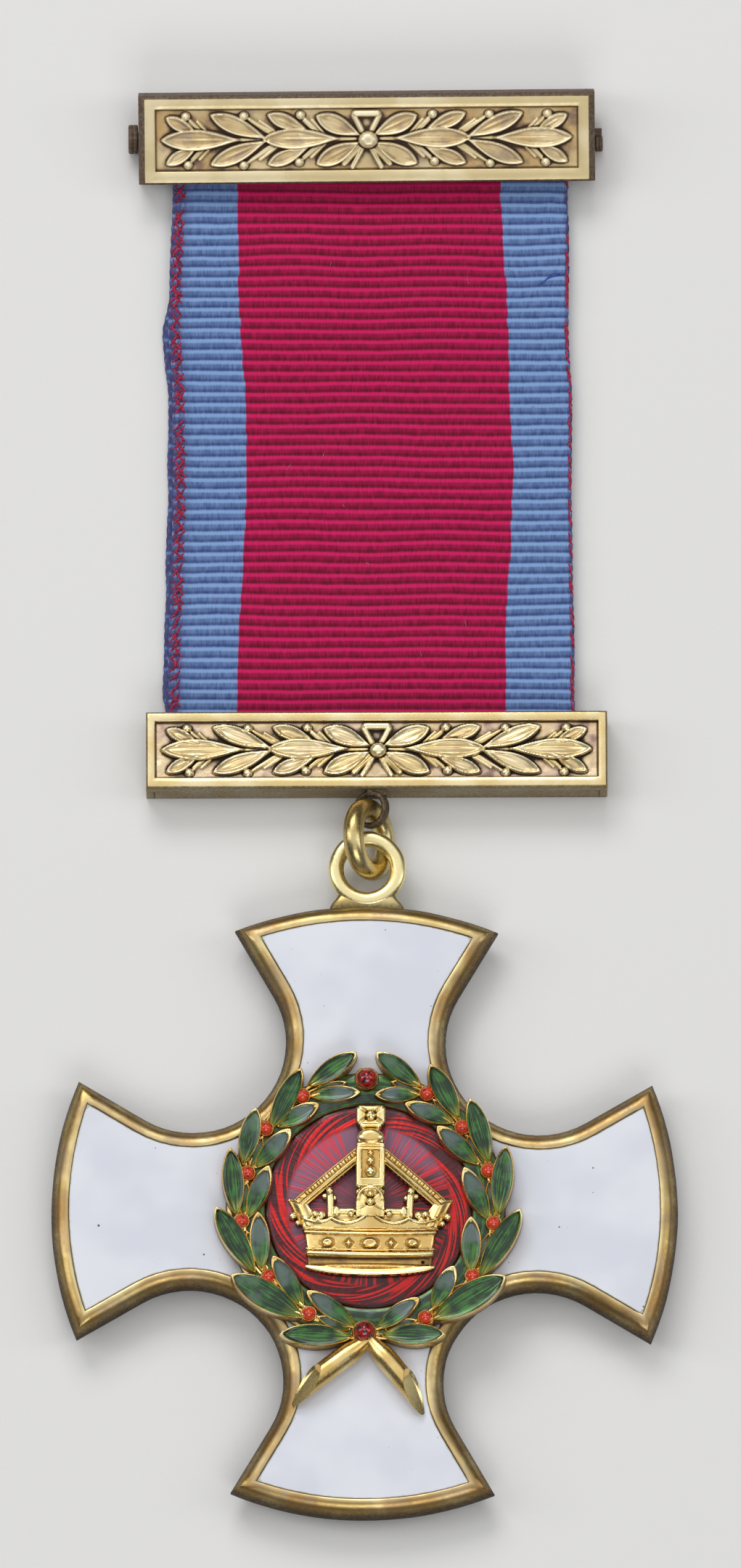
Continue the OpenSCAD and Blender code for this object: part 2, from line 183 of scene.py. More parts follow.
def stick(x: Array, y: Array, a: Spot, b: Spot, radius: float) -> Array:
    """Distance in from a round-ended stick between a and b."""
    dx, dy = b[0] - a[0], b[1] - a[1]
    share = np.clip(((x - a[0]) * dx + (y - a[1]) * dy) / max(dx * dx + dy * dy, 1e-12), 0, 1)
    return radius - np.hypot(x - a[0] - share * dx, y - a[1] - share * dy)


def block(x: Array, y: Array, at: Spot, half: Spot) -> Array:
    """Distance in from an upright rectangle of the half sizes given."""
    return np.minimum(half[0] - np.abs(x - at[0]), half[1] - np.abs(y - at[1]))


def polygon(x: Array, y: Array, corners: Sequence[Spot]) -> Array:
    """Distance in from a polygon's outline."""
    nearest = np.full(np.shape(x), 1e9)
    within = np.zeros(np.shape(x), bool)
    for (ax, ay), (bx, by) in zip(corners, [*corners[1:], corners[0]]):
        nearest = np.minimum(nearest, -stick(x, y, (ax, ay), (bx, by), 0))
        if ay != by:
            crosses = (ay > y) != (by > y)
            within ^= crosses & (x < ax + (y - ay) * (bx - ax) / (by - ay))
    return np.where(within, nearest, -nearest)


@dataclass(frozen=True)
class Leaf:
    """Outline of one leaf from its base to its tip; low exponents make blunt ends."""

    base: Spot
    tip: Spot
    width: float
    base_power: float
    tip_power: float

    def half(self, share: Array, width: float) -> Array:
        """Half the width at a share along a leaf of the full width given."""
        a, b = self.base_power, self.tip_power
        widest = a / (a + b)
        return width / 2 * (share / widest) ** a * ((1 - share) / (1 - widest)) ** b

    def local(self, x: Array, y: Array) -> tuple[Array, Array, Array]:
        """Places measured along the leaf.

        Args:
            x: Places across.
            y: Places up.

        Returns:
            Share along it, distance left of its midrib, and distance in.
        """
        dx, dy = self.tip[0] - self.base[0], self.tip[1] - self.base[1]
        length = hypot(dx, dy)
        along = ((x - self.base[0]) * dx + (y - self.base[1]) * dy) / length**2
        left = (-(x - self.base[0]) * dy + (y - self.base[1]) * dx) / length
        u = np.clip(along, 0.002, 0.998)
        half = self.half(u, self.width)
        slope = half * (self.base_power / u - self.tip_power / (1 - u)) / length
        beyond = np.abs(along - np.clip(along, 0, 1)) * length
        inside = (half - np.abs(left)) / np.sqrt(1 + slope * slope)
        return along, left, np.where(beyond > 0, -np.hypot(beyond, left), inside)

    def lens(self, share: Array, side: Array, inset: float, heavy: float) -> Array:
        """Places within the leaf drawn in by a distance.

        Args:
            share: Share along it, from base to tip.
            side: Share of its half width, -1 at the right edge.
            inset: Distance in from its outline.
            heavy: Further distance in at its tip.

        Returns:
            The places.
        """
        length, ahead, left = heading(self.base, self.tip)
        half = self.half(share, self.width - 2 * inset)
        along = 1.6 * inset + share * (length - 3.2 * inset - heavy)
        return self.base + along[..., None] * ahead + (half * side)[..., None] * left


def grid_faces(rows: int, cols: int, wrap_rows: bool, wrap_cols: bool) -> list[list[int]]:
    """Quads of a grid of points numbered row by row.

    Args:
        rows: Number of rows.
        cols: Points in a row.
        wrap_rows: Joins the last row to the first.
        wrap_cols: Joins the last column to the first.

    Returns:
        The quads' point numbers.
    """
    ids = np.arange(rows * cols).reshape(rows, cols)
    after = np.roll(ids, -1, 0)
    quads = np.stack([ids, np.roll(ids, -1, 1), np.roll(after, -1, 1), after], -1)
    return quads[: rows - (not wrap_rows), : cols - (not wrap_cols)].reshape(-1, 4).tolist()


def fill_loops(points: Array, edges: Sequence[tuple[int, int]]) -> list[list[int]]:
    """Triangles that fill flat closed loops but not their holes.

    Args:
        points: Places across and up.
        edges: Pairs of point numbers.

    Returns:
        Point numbers of triangles that face down.
    """
    bm = bmesh.new()
    verts = [bm.verts.new((px, py, 0)) for px, py in points]
    lines = [bm.edges.new((verts[a], verts[b])) for a, b in edges]
    bmesh.ops.triangle_fill(bm, use_beauty=False, use_dissolve=False, edges=lines)
    bm.verts.index_update()
    made = []
    for face in bm.faces:
        face.normal_update()
        ids = [v.index for v in face.verts]
        made.append(ids[::-1] if face.normal.z > 0 else ids)
    bm.free()
    return made


def link(name: str, data: bpy.types.ID) -> bpy.types.Object:
    """A new object in the scene."""
    made = bpy.data.objects.new(name, data)
    bpy.context.scene.collection.objects.link(made)
    return made


class Shape:
    """Points, faces and marks of one piece."""

    def __init__(self) -> None:
        """Starts with nothing."""
        self.points: list[Array] = []
        self.faces: list[list[int]] = []
        self.finishes: list[int] = []
        self.marks: list[tuple[int, int, Marks]] = []
        self.count = 0
        # Which of the piece's materials the faces added next take
        self.finish = 0

    def add(self, points: Array, faces: list[list[int]], marks: Marks | None) -> None:
        """Adds points and the faces between them.

        Args:
            points: Their places.
            faces: Point numbers of each, from 0.
            marks: Values for each point or for all, by name.
        """
        points = np.asarray(points, float).reshape(-1, 3)
        self.faces += [[n + self.count for n in face] for face in faces]
        self.finishes += [self.finish] * len(faces)
        self.points.append(points)
        self.marks.append((self.count, len(points), marks or {}))
        self.count += len(points)

    def loft(self, rings: Array, wrap: bool = False, marks: Marks | None = None) -> None:
        """Joins rings of equally many points, one after another, and closes both ends.

        Args:
            rings: Places, anticlockwise as seen from where the rings go.
            wrap: Joins the last ring to the first instead.
            marks: Values for each point or for all, by name.
        """
        count, around = rings.shape[:2]
        faces = grid_faces(count, around, wrap, True)
        if not wrap:
            faces += [[*range(around)][::-1], [*range((count - 1) * around, count * around)]]
        self.add(rings, faces, marks)

    def tube(self, path: Array, radius: Array | float, sides: int, closed: bool = False) -> None:
        """Adds a round tube.

        Args:
            path: Places along its middle.
            radius: Radius at each, or one for all.
            sides: Points round it.
            closed: Joins its ends.
        """
        ahead = np.roll(path, -1, 0) - np.roll(path, 1, 0) if closed else np.gradient(path, axis=0)
        ahead /= np.linalg.norm(ahead, axis=1)[:, None]
        up = np.array([0.0, 0.0, 1.0]) if abs(ahead[0, 2]) < 0.9 else np.array([1.0, 0.0, 0.0])
        rings, ring = [], circle(sides)
        for at, along, r in zip(path, ahead, np.broadcast_to(radius, len(path))):
            up = up - along * (up @ along)
            up /= np.linalg.norm(up)
            rings.append(at + r * (ring[:, :1] * np.cross(along, up) + ring[:, 1:2] * up))
        self.loft(np.array(rings)[:, ::-1], closed)

    def lathe(
        self, profile: Sequence[Spot], place: Place, sides: int, wrap: bool = False,
        marks: Marks | None = None,
    ) -> None:
        """Adds a shape turned about the place's z axis, from each ring's radius and height."""
        rings = np.array([circle(sides) * r + np.array([0, 0, z]) for r, z in profile])
        self.loft(place.at(rings), wrap, marks)

    def make(
        self, name: str, node: str, slot: Slot, *materials: Material, sharp_deg: float = 50
    ) -> bpy.types.Object:
        """Makes the piece, dresses it and puts it on the badge's body.

        Args:
            name: Name of the piece.
            node: CAD node that it replaces.
            slot: Not used.
            materials: Its materials, by the faces' finish.
            sharp_deg: Angle from which an edge is sharp.

        Returns:
            The new object.
        """
        mesh = bpy.data.meshes.new(name)
        mesh.from_pydata(np.concatenate(self.points) * MM, [], self.faces)
        for material in materials:
            mesh.materials.append(material)
        mesh.polygons.foreach_set("material_index", self.finishes)
        for mark in sorted({key for _, _, marks in self.marks for key in marks}):
            values = np.zeros(self.count, np.float32)
            for start, length, marks in self.marks:
                values[start : start + length] = np.ravel(marks.get(mark, 0))
            mesh.attributes.new(mark, "FLOAT", "POINT").data.foreach_set("value", values)
        bm = bmesh.new()
        bm.from_mesh(mesh)
        bmesh.ops.remove_doubles(bm, verts=bm.verts, dist=MELD * MM)
        bmesh.ops.recalc_face_normals(bm, faces=bm.faces)
        bm.to_mesh(mesh)
        bm.free()
        mesh.shade_smooth()
        mesh.set_sharp_from_angle(angle=radians(sharp_deg))
        piece = link(name, mesh)
        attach(piece, "root")
        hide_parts(node)
        LOG.info("%s: %d points, %d faces", name, len(mesh.vertices), len(mesh.polygons))
        return piece


def box_blur(values: Array, reach: int) -> Array:
    """Mean over a square window about each place.

    Args:
        values: Values on a grid.
        reach: Steps from the window's middle to its edge.

    Returns:
        The blurred grid.
    """
    size = 2 * reach + 1
    for _ in range(2):
        total = np.cumsum(np.pad(values, ((reach + 1, reach), (0, 0)), mode="edge"), axis=0)
        values = ((total[size:] - total[:-size]) / size).T
    return values


class Carving:
    """Heights over a set of places, raised and sunk shape by shape."""

    def __init__(self, x: Array, y: Array, ground: float | Array) -> None:
        """Starts from places across and up, and the ground that shapes stand on."""
        self.x, self.y, self.height = x, y, np.zeros_like(x) + ground
        self.inside = np.full_like(x, -9.0)

    def lift(self, inside: Array, top: Array | float, low: float, flank: float) -> None:
        """Raises a shape where it stands over what is there.

        Args:
            inside: Distance in from its outline.
            top: Height of its surface.
            low: Height that its flank starts from.
            flank: Width of its flank, outside the outline.
        """
        rise = smooth(inside / flank + 1)
        level = low + (top - low) * rise
        self.height = np.where(rise > 0, np.maximum(self.height, level), self.height)
        self.inside = np.maximum(self.inside, inside)

    def cushion(
        self, inside: Array, top: Array | float, radius: float, low: float = 0.1, flank: float = 0.07
    ) -> None:
        """Raises a shape with a rounded edge of the radius given."""
        self.lift(inside, top - rounded(inside, radius), low, flank)

    def bead(self, at: Spot, radius: float, z: float, cut: float = 0) -> None:
        """Raises a ball with its middle at height z, and if asked a round outline for it."""
        inside = disc(self.x, self.y, at, radius)
        top = z + np.sqrt(np.clip(radius**2 - (radius - np.maximum(inside, 0)) ** 2, 0, None))
        self.height = np.where(inside > 0, np.maximum(self.height, top), self.height)
        if cut:
            self.inside = np.maximum(self.inside, disc(self.x, self.y, at, cut))

    def sink(self, inside: Array, depth: Array | float, flank: float) -> None:
        """Lowers what is there within an outline."""
        self.height = self.height - depth * smooth(inside / flank + 0.5)

    def ridge(self, a: Spot, b: Spot, radius: float, z: float, low: float) -> None:
        """Raises a round-topped stick between a and b, its top at height z."""
        inside = stick(self.x, self.y, a, b, radius)
        self.lift(inside, z - rounded(inside, radius) * 0.8, low, 0.08)


@dataclass
class Relief:
    """Carved face on a fine grid, cut along its outline, with walls and an underside."""

    carve: Callable[[Array, Array], tuple[Array, Array, Marks]]
    low: Spot
    high: Spot
    floor: float
    shade_reach: float
    shade_depth: float
    pitch: float = 0.05

    def add_to(self, shape: Shape, place: Place) -> None:
        """Adds the relief to a piece.

        Args:
            shape: The piece.
            place: Where its own frame stands.
        """
        x, y = np.meshgrid(*(
            np.arange(a, b + self.pitch / 2, self.pitch) for a, b in zip(self.low, self.high)
        ))
        inside, height, marks = self.carve(x, y)
        solid = inside > 0
        # Painted shade and patina in hollows, paler on crests, from the height against its blur
        ground = np.where(solid, height, height[solid].min())
        reach = max(1, round(self.shade_reach / self.pitch / 2))
        shade = box_blur(box_blur(ground, reach), reach) - ground
        marks["hollow"] = shade = np.clip(shade / self.shade_depth, -1, 1)

        # Points where the outline crosses the grid's lines, along x, then along y
        total = int(solid.sum())
        number = np.full(x.shape, -1)
        number[solid] = np.arange(total)
        cuts, spots = [], [np.stack([x[solid], y[solid]], 1)]
        for first, second, ahead in (
            (np.s_[:, :-1], np.s_[:, 1:], (1, 0)), (np.s_[:-1], np.s_[1:], (0, 1)),
        ):
            crossed = solid[first] != solid[second]
            share = inside[first] / np.where(crossed, inside[first] - inside[second], 1)
            step = np.clip(share, 0.05, 0.95)[crossed][:, None] * self.pitch * np.array(ahead)
            spots.append(np.stack([x[first][crossed], y[first][crossed]], 1) + step)
            cuts.append(np.full(crossed.shape, -1))
            cuts[-1][crossed] = total + np.arange(crossed.sum())
            total += int(crossed.sum())
        edge = np.concatenate(spots[1:])
        _, edge_z, edge_marks = self.carve(*edge.T)
        i, j = np.round((edge - self.low) / self.pitch).astype(int).T
        edge_marks["hollow"] = shade[j.clip(0, len(x) - 1), i.clip(0, len(x[0]) - 1)]
        marks = {key: np.concatenate([value[solid], edge_marks[key]]) for key, value in marks.items()}

        corners = np.s_[:-1, :-1], np.s_[:-1, 1:], np.s_[1:, 1:], np.s_[1:, :-1]
        held, quads = (np.stack([grid[c] for c in corners], -1) for grid in (solid, number))
        sides = np.stack([cuts[0][:-1], cuts[1][:, 1:], cuts[0][1:], cuts[1][:, :-1]], -1)
        whole = held.all(-1)
        part = held.any(-1) & ~whole
        faces = quads[whole].tolist()
        rim = []
        for here, points, crossings in zip(*(grid[part].tolist() for grid in (held, quads, sides))):
            face, ends = [], []
            for k in range(4):
                if here[k]:
                    face.append(points[k])
                if here[k] != here[(k + 1) % 4]:
                    face.append(crossings[k])
                    ends.append((crossings[k], here[k]))
            faces.append(face)
            after = [*ends[1:], ends[0]]
            rim += [(point, end) for (point, leaving), (end, _) in zip(ends, after) if leaving]

        names = {point: n for n, point in enumerate(sorted({p for pair in rim for p in pair}))}
        flat = np.concatenate(spots)
        under = flat[list(names)]
        faces += [[b, a, total + names[a], total + names[b]] for a, b in rim]
        below = fill_loops(under, [(names[a], names[b]) for a, b in rim])
        faces += [[total + n for n in face] for face in below]
        marks = {key: np.concatenate([value, value[list(names)]]) for key, value in marks.items()}
        # Walls and underside take full painted shade
        marks["hollow"][total:] = 1
        z = np.concatenate([height[solid], edge_z, np.full(len(under), self.floor)])
        points = np.column_stack([np.concatenate([flat, under]), z])
        shape.add(place.at(points), faces, marks)


def linear(colour: Colour) -> list[float]:
    """Linear colour, with full cover, of screen values from 0 to 255."""
    shares = np.array(colour) / 255
    low, high = shares / 12.92, ((shares + 0.055) / 1.055) ** 2.4
    return [*np.where(shares <= 0.04045, low, high).tolist(), 1]


class Nodes:
    """Node tree of one material, with its shader at the end."""

    def __init__(self, name: str, **constants: float | Colour) -> None:
        """Starts the tree.

        Args:
            name: Name of the material.
            constants: Shader inputs that are the same all over.
        """
        self.material = bpy.data.materials.new(name)
        self.material.use_nodes = True
        self.tree = self.material.node_tree
        self.tree.nodes.clear()
        self.shader = self.tree.nodes.new("ShaderNodeBsdfPrincipled")
        output = self.tree.nodes.new("ShaderNodeOutputMaterial")
        self.tree.links.new(self.shader.outputs[0], output.inputs[0])
        self.dress(**constants)
        own = self.tree.nodes.new("ShaderNodeTexCoord").outputs["Object"]
        self.spot = self.vector("SCALE", own, 1 / MM)

    def put(self, socket: Socket, value: Socket | float | Sequence[float]) -> None:
        """Links an output to a socket, or sets the socket to a constant."""
        if isinstance(value, bpy.types.NodeSocket):
            self.tree.links.new(value, socket)
        elif socket.type == "RGBA":
            socket.default_value = linear(value)
        else:
            socket.default_value = value

    def dress(self, **inputs: Socket | float | Colour) -> Material:
        """Fills the shader's inputs, with _ for a space, and gives the material."""
        for key, value in inputs.items():
            self.put(self.shader.inputs[key.replace("_", " ")], value)
        return self.material

    def add(
        self, kind: str, inputs: dict[int | str, object], output: int | str = 0, **settings: object
    ) -> Socket:
        """Adds a node.

        Args:
            kind: Type of the node.
            inputs: Values for its sockets, by number or name.
            output: Which of its outputs is wanted.
            settings: Properties of the node.

        Returns:
            The output.
        """
        node = self.tree.nodes.new("ShaderNode" + kind)
        for key, value in settings.items():
            setattr(node, key, value)
        for key, value in inputs.items():
            self.put(node.inputs[key], value)
        return node.outputs[output]

    def mark(self, name: str) -> Socket:
        """Value of one of the mesh's marks."""
        return self.add("Attribute", {}, "Fac", attribute_name=name)

    def times(self, a: Socket, b: Socket | float) -> Socket:
        """Product of two numbers."""
        return self.add("Math", {0: a, 1: b}, operation="MULTIPLY")

    def plus(self, a: Socket, b: Socket | float) -> Socket:
        """Sum of two numbers."""
        return self.add("Math", {0: a, 1: b}, operation="ADD")

    def vector(
        self, operation: str, a: Socket, b: Socket | Point | float | None = None,
        output: int | str = 0,
    ) -> Socket:
        """Operation on one or two vectors, or on a vector and a scale."""
        second = {} if b is None else {"Scale" if operation == "SCALE" else 1: b}
        return self.add("VectorMath", {0: a, **second}, output, operation=operation)

    def spread(self, value: Socket, low: float, high: float, a: float = 0, b: float = 1) -> Socket:
        """Maps a value smoothly from low..high to a..b and keeps it there."""
        inputs = {"Value": value, "From Min": low, "From Max": high, "To Min": a, "To Max": b}
        return self.add("MapRange", inputs, interpolation_type="SMOOTHSTEP")

    def mid(self, value: Socket, a: float, b: float) -> Socket:
        """Maps a random field's usual range to a..b."""
        return self.spread(value, 0.3, 0.7, a, b)

    def blend(self, share: Socket, a: Socket | Colour, b: Socket | Colour) -> Socket:
        """Colour a turning into b as the share goes from 0 to 1."""
        return self.add("Mix", {0: share, 6: a, 7: b}, 2, data_type="RGBA")

    def noise(
        self, cell: float, detail: float = 2, stretch: Point = (1, 1, 1), spot: Socket | None = None
    ) -> Socket:
        """Random field, mostly 0.3 to 0.7, of bumps a cell wide, stretched along each axis."""
        place = self.vector("MULTIPLY", spot or self.spot, tuple(1 / (cell * s) for s in stretch))
        return self.add("TexNoise", {"Vector": place, "Scale": 1.0, "Detail": detail})

    def bump(self, height: Socket, depth: float, under: Socket | None = None) -> Socket:
        """Normal bumped by a field, where 1 is depth millimetres, over one bumped already."""
        inputs = {"Height": height, "Distance": depth * MM, "Strength": 1.0}
        return self.add("Bump", {**inputs, "Normal": under} if under else inputs)


@dataclass(frozen=True)
class Gilding:
    """Gilt metal: pale where rubbed and where highlights are painted, warmer elsewhere, dull and brown
    with patina and painted shade in hollows.
    """

    name: str
    rubbed_and_lit: Colour
    body: Colour
    deep: Colour
    soil: Colour
    rough: float
    metal: float = 1.0
    patch: float = 3.0
    pits: float = 0.0008
    tarnish: Colour = (128, 104, 96)

    def material(self) -> Material:
        """Makes the material."""
        n = Nodes(self.name, Specular_IOR_Level=0.5)
        hollow = n.mark("hollow")
        broad, fine = n.noise(self.patch, 3), n.noise(0.2)
        # Random rubbing, plus painted highlight where the mark is below zero
        worn = n.plus(n.spread(broad, 0.36, 0.66, 0, 0.55), n.spread(hollow, -0.08, -0.6))
        colour = n.blend(n.spread(worn, 0, 1), self.body, self.rubbed_and_lit)
        # Soil tone on the bars' ground, and painted shade on the crown's neck
        soil = n.times(n.mark("soil"), n.spread(n.noise(2.6, 3), 0.36, 0.6, 0.35, 1))
        tarnish = n.spread(n.noise(1.3, 4), 0.44, 0.68, 0, 0.85)
        colour = n.blend(soil, colour, n.blend(tarnish, self.soil, self.tarnish))
        # Patina and painted shade where the mark is above zero, blended towards the deep colour
        grime_and_shade = n.plus(hollow, n.mid(fine, -0.035, 0.035))
        grime_and_shade = n.spread(grime_and_shade, 0.06, 0.62)
        colour = n.blend(grime_and_shade, colour, self.deep)
        rough = n.mid(fine, self.rough - 0.04, self.rough + 0.05)
        dull = n.plus(n.times(grime_and_shade, 0.3), n.times(soil, 0.16))
        metal = n.spread(grime_and_shade, 0.2, 1, self.metal, self.metal / 2)
        lines = n.noise(0.08, 1, (9, 1, 1))
        normal = n.bump(lines, self.pits, n.bump(fine, self.pits * 2))
        return n.dress(Base_Color=colour, Roughness=n.plus(rough, dull), Metallic=metal, Normal=normal)


@dataclass(frozen=True)
class WhiteEnamel:
    """Glossy opaque enamel with specks in it and a thin dull line round its edge."""

    specks: tuple[Point, ...]
    body: Colour = (227, 229, 237)
    shade: Colour = (216, 219, 229)
    line: Colour = (168, 176, 150)
    speck: Colour = (92, 84, 80)

    def material(self) -> Material:
        """Makes the material."""
        n = Nodes("white_enamel_glaze", Coat_Weight=0.5, Coat_Roughness=0.03, IOR=1.52)
        colour = n.blend(n.spread(n.noise(5), 0.35, 0.65), self.body, self.shade)
        dots = n.spread(n.noise(0.22, 0), 0.87, 0.9)
        colour = n.blend(dots, colour, self.speck)
        for x, y, reach in self.specks:
            away = n.vector("DISTANCE", n.vector("MULTIPLY", n.spot, (1, 1, 0)), (x, y, 0), "Value")
            colour = n.blend(n.spread(away, reach * 0.7, reach * 1.2, 1, 0), colour, self.speck)
        edge = n.plus(n.mark("edge"), n.mid(n.noise(0.5), -0.03, 0.03))
        colour = n.blend(n.spread(edge, 0.1, 0.0, 0, 0.8), colour, self.line)
        waves = n.bump(n.noise(2.4), 0.012, n.bump(n.noise(0.5, 1), 0.0012))
        rough = n.mid(n.noise(1.5, 3), 0.1, 0.2)
        return n.dress(Base_Color=colour, Roughness=rough, Normal=waves)


@dataclass(frozen=True)
class RedEnamel:
    """Clear red enamel over a sunburst cut in the metal, with a painted sheen and a painted shadow at
    its edge.
    """

    middle: Spot
    deep: Colour = (66, 4, 14)
    field: Colour = (132, 88, 112)
    bright: Colour = (206, 26, 24)
    pale: Colour = (204, 56, 74)
    edge: Colour = (44, 2, 6)

    def fan(self, n: Nodes, heading: Socket, radius: Socket, around: float, out: float) -> Socket:
        """Random cuts, by cells in a radian round the middle and in a millimetre outwards."""
        way = n.vector("SCALE", heading, around)
        return n.noise(1, 1, spot=n.vector("ADD", way, n.add("CombineXYZ", {2: n.times(radius, out)})))

    def material(self) -> Material:
        """Makes the material."""
        n = Nodes("red_enamel_sunburst", Coat_Weight=1.0, Coat_Roughness=0.03, Coat_IOR=1.36, IOR=1.4)
        flat = n.vector("MULTIPLY", n.vector("SUBTRACT", n.spot, (*self.middle, 0)), (1, 1, 0))
        radius = n.vector("LENGTH", flat, output="Value")
        heading = n.vector("NORMALIZE", flat)
        cuts = self.fan(n, heading, radius, 27, 0.28)
        turn = n.times(radius, 0.62)
        swept = n.add("VectorRotate", {0: heading, "Angle": turn}, rotation_type="Z_AXIS")
        sweeps = self.fan(n, swept, radius, 8, 0.8)
        # Painted sheen: paler and greyer towards the upper left, deep red towards the foot and the
        # right
        up, right = (n.add("SeparateXYZ", {0: flat}, axis) for axis in (1, 0))
        slant = n.add("Math", {0: up, 1: n.times(right, 0.55)}, operation="SUBTRACT")
        high = n.plus(n.spread(slant, -4, 5), n.mid(n.noise(3.2), -0.22, 0.22))
        high = n.spread(high, 0, 1)
        field = n.blend(high, self.deep, self.field)
        bright = n.blend(high, self.bright, self.pale)
        glints = n.times(n.spread(cuts, 0.5, 0.56), n.spread(radius, 1.0, 4.0, 0.25, 1))
        colour = n.blend(n.times(glints, 0.8), field, bright)
        # Ring of long cuts along the edge
        ring = n.times(n.spread(radius, 5.35, 5.75), n.spread(radius, 6.8, 6.6))
        base = n.blend(n.times(ring, 0.95), colour, self.deep)
        streaks = n.times(ring, n.spread(sweeps, 0.5, 0.55))
        colour = n.blend(streaks, base, self.bright)
        # Painted shadow of the wreath darkens the disc's edge
        colour = n.blend(n.spread(radius, 6.5, 6.95), colour, self.edge)
        height = n.plus(cuts, n.times(sweeps, ring))
        return n.dress(
            Base_Color=colour, Metallic=n.spread(n.plus(glints, streaks), 0, 1, 0.3, 0.7),
            Roughness=n.mid(cuts, 0.42, 0.28), Normal=n.bump(height, 0.04),
        )


@dataclass(frozen=True)
class LeafEnamel:
    """Clear green enamel over cut veins, with a painted grey reflection towards the tips."""

    deep: Colour = (16, 44, 20)
    bright: Colour = (60, 116, 44)
    reflection_tint: Colour = (92, 108, 104)
    glow: Colour = (150, 160, 50)

    def material(self) -> Material:
        """Makes the material."""
        n = Nodes("green_enamel_leaves", Coat_Weight=1.0, Coat_Roughness=0.04, Coat_IOR=1.4, IOR=1.4)
        along, across, cloud = n.mark("along"), n.mark("across"), n.mark("cloud")
        vein = n.add("CombineXYZ", {
            0: n.times(across, 9.0), 1: n.times(along, 1.6), 2: n.times(cloud, 7.0),
        })
        cuts = n.noise(1, spot=vein)
        light = n.plus(n.spread(cuts, 0.38, 0.62), n.mid(n.noise(0.8), -0.6, 0.2))
        colour = n.blend(n.spread(light, 0, 1), self.deep, self.bright)
        glow = n.times(n.spread(along, 0.3, 0.04), n.spread(cuts, 0.35, 0.6))
        colour = n.blend(glow, colour, self.glow)
        # Painted grey reflection on the glossy enamel, growing towards the tips
        reach = n.plus(n.times(cloud, along), n.mid(n.noise(1.1), -0.16, 0.16))
        reach = n.plus(reach, n.mid(cuts, 0.1, -0.16))
        painted_reflection = n.spread(reach, 0.3, 0.66, 0, 0.8)
        return n.dress(
            Base_Color=n.blend(painted_reflection, colour, self.reflection_tint), Metallic=n.spread(painted_reflection, 0, 1, 0.45, 0.1),
            Roughness=n.mid(cuts, 0.42, 0.28), Normal=n.bump(cuts, 0.03),
        )


@dataclass(frozen=True)
class BeadEnamel:
    """Glossy enamel of the berries."""

    name: str
    body: Colour
    deep: Colour
    pattern: float

    def material(self) -> Material:
        """Makes the material."""
        n = Nodes(self.name, Coat_Weight=1.0, Coat_Roughness=0.05, IOR=1.5)
        cells = n.noise(0.3, 1)
        colour = n.blend(n.spread(cells, self.pattern, self.pattern + 0.12), self.body, self.deep)
        return n.dress(
            # Painted shade where the mark is set
            Base_Color=n.blend(n.spread(n.mark("hollow"), 0.1, 0.8), colour, self.deep),
            Roughness=n.mid(cells, 0.2, 0.34), Normal=n.bump(n.noise(0.12), 0.006),
        )


@dataclass(frozen=True)
class CordedSilk:
    """Crimson silk with a blue stripe along each edge, with painted shade between its ribs and a
    painted highlight along each.
    """

    crimson: Colour = (200, 18, 90)
    crimson_deep: Colour = (86, 0, 24)
    blue: Colour = (128, 160, 208)
    blue_deep: Colour = (46, 62, 116)
    selvedge: Colour = (70, 56, 104)

    def material(self) -> Material:
        """Makes the material."""
        n = Nodes("corded_silk", Sheen_Weight=0.08, Sheen_Roughness=0.4, Specular_IOR_Level=0.18)
        crest, lit = n.mark("crest"), n.mark("lit")
        thread = n.add("CombineXYZ", {0: n.mark("across"), 1: n.mark("run")})
        warp = n.noise(0.085, 1, (1, 9, 1), thread)
        fuzz = n.noise(0.3, 3, (1, 2.5, 1), thread)
        # Painted highlight along each rib's upper crest and painted shade in its grooves
        above = n.add("Math", {0: lit, 1: 0}, operation="MAXIMUM")
        peak = n.add("Math", {0: above, 1: 3}, operation="POWER")
        light = n.times(n.spread(crest, 0, 0.8, 0.45, 1), n.spread(peak, 0, 1, 0.46, 1.1))
        light = n.times(light, n.spread(warp, 0.34, 0.64, 0.86, 1.08))
        light = n.plus(light, n.mid(fuzz, -0.08, 0.08))
        red = n.blend(n.spread(light, 0, 1), self.crimson_deep, self.crimson)
        blue = n.blend(n.spread(light, 0, 1), self.blue_deep, self.blue)
        colour = n.blend(n.spread(n.mark("stripe"), -0.06, 0.06), red, blue)
        worn = n.times(n.mark("selvedge"), n.spread(fuzz, 0.35, 0.6, 0.15, 0.9))
        colour = n.blend(worn, colour, self.selvedge)
        height = n.plus(warp, n.times(fuzz, 0.5))
        return n.dress(
            Base_Color=colour, Roughness=n.mid(warp, 0.72, 0.56), Normal=n.bump(height, 0.03)
        )


@dataclass(frozen=True)
class Thread:
    """One dyed thread, with painted shade along the hollows of its twist."""

    name: str
    body: Colour
    deep: Colour

    def material(self) -> Material:
        """Makes the material."""
        n = Nodes(self.name, Sheen_Weight=0.3, Specular_IOR_Level=0.3)
        twist = n.noise(0.12)
        return n.dress(
            Base_Color=n.blend(n.spread(twist, 0.38, 0.62), self.deep, self.body),
            Roughness=n.mid(twist, 0.75, 0.6), Normal=n.bump(twist, 0.02),
        )


@dataclass(frozen=True)
class PaleBoard:
    """Plain pale floor with the faint tooth of card."""

    body: Colour = (228, 227, 225)

    def material(self) -> Material:
        """Makes the material."""
        n = Nodes("pale_board", Base_Color=self.body, Specular_IOR_Level=0.2)
        tooth = n.noise(0.5, 3)
        return n.dress(Roughness=n.mid(tooth, 0.85, 0.95), Normal=n.bump(tooth, 0.02))


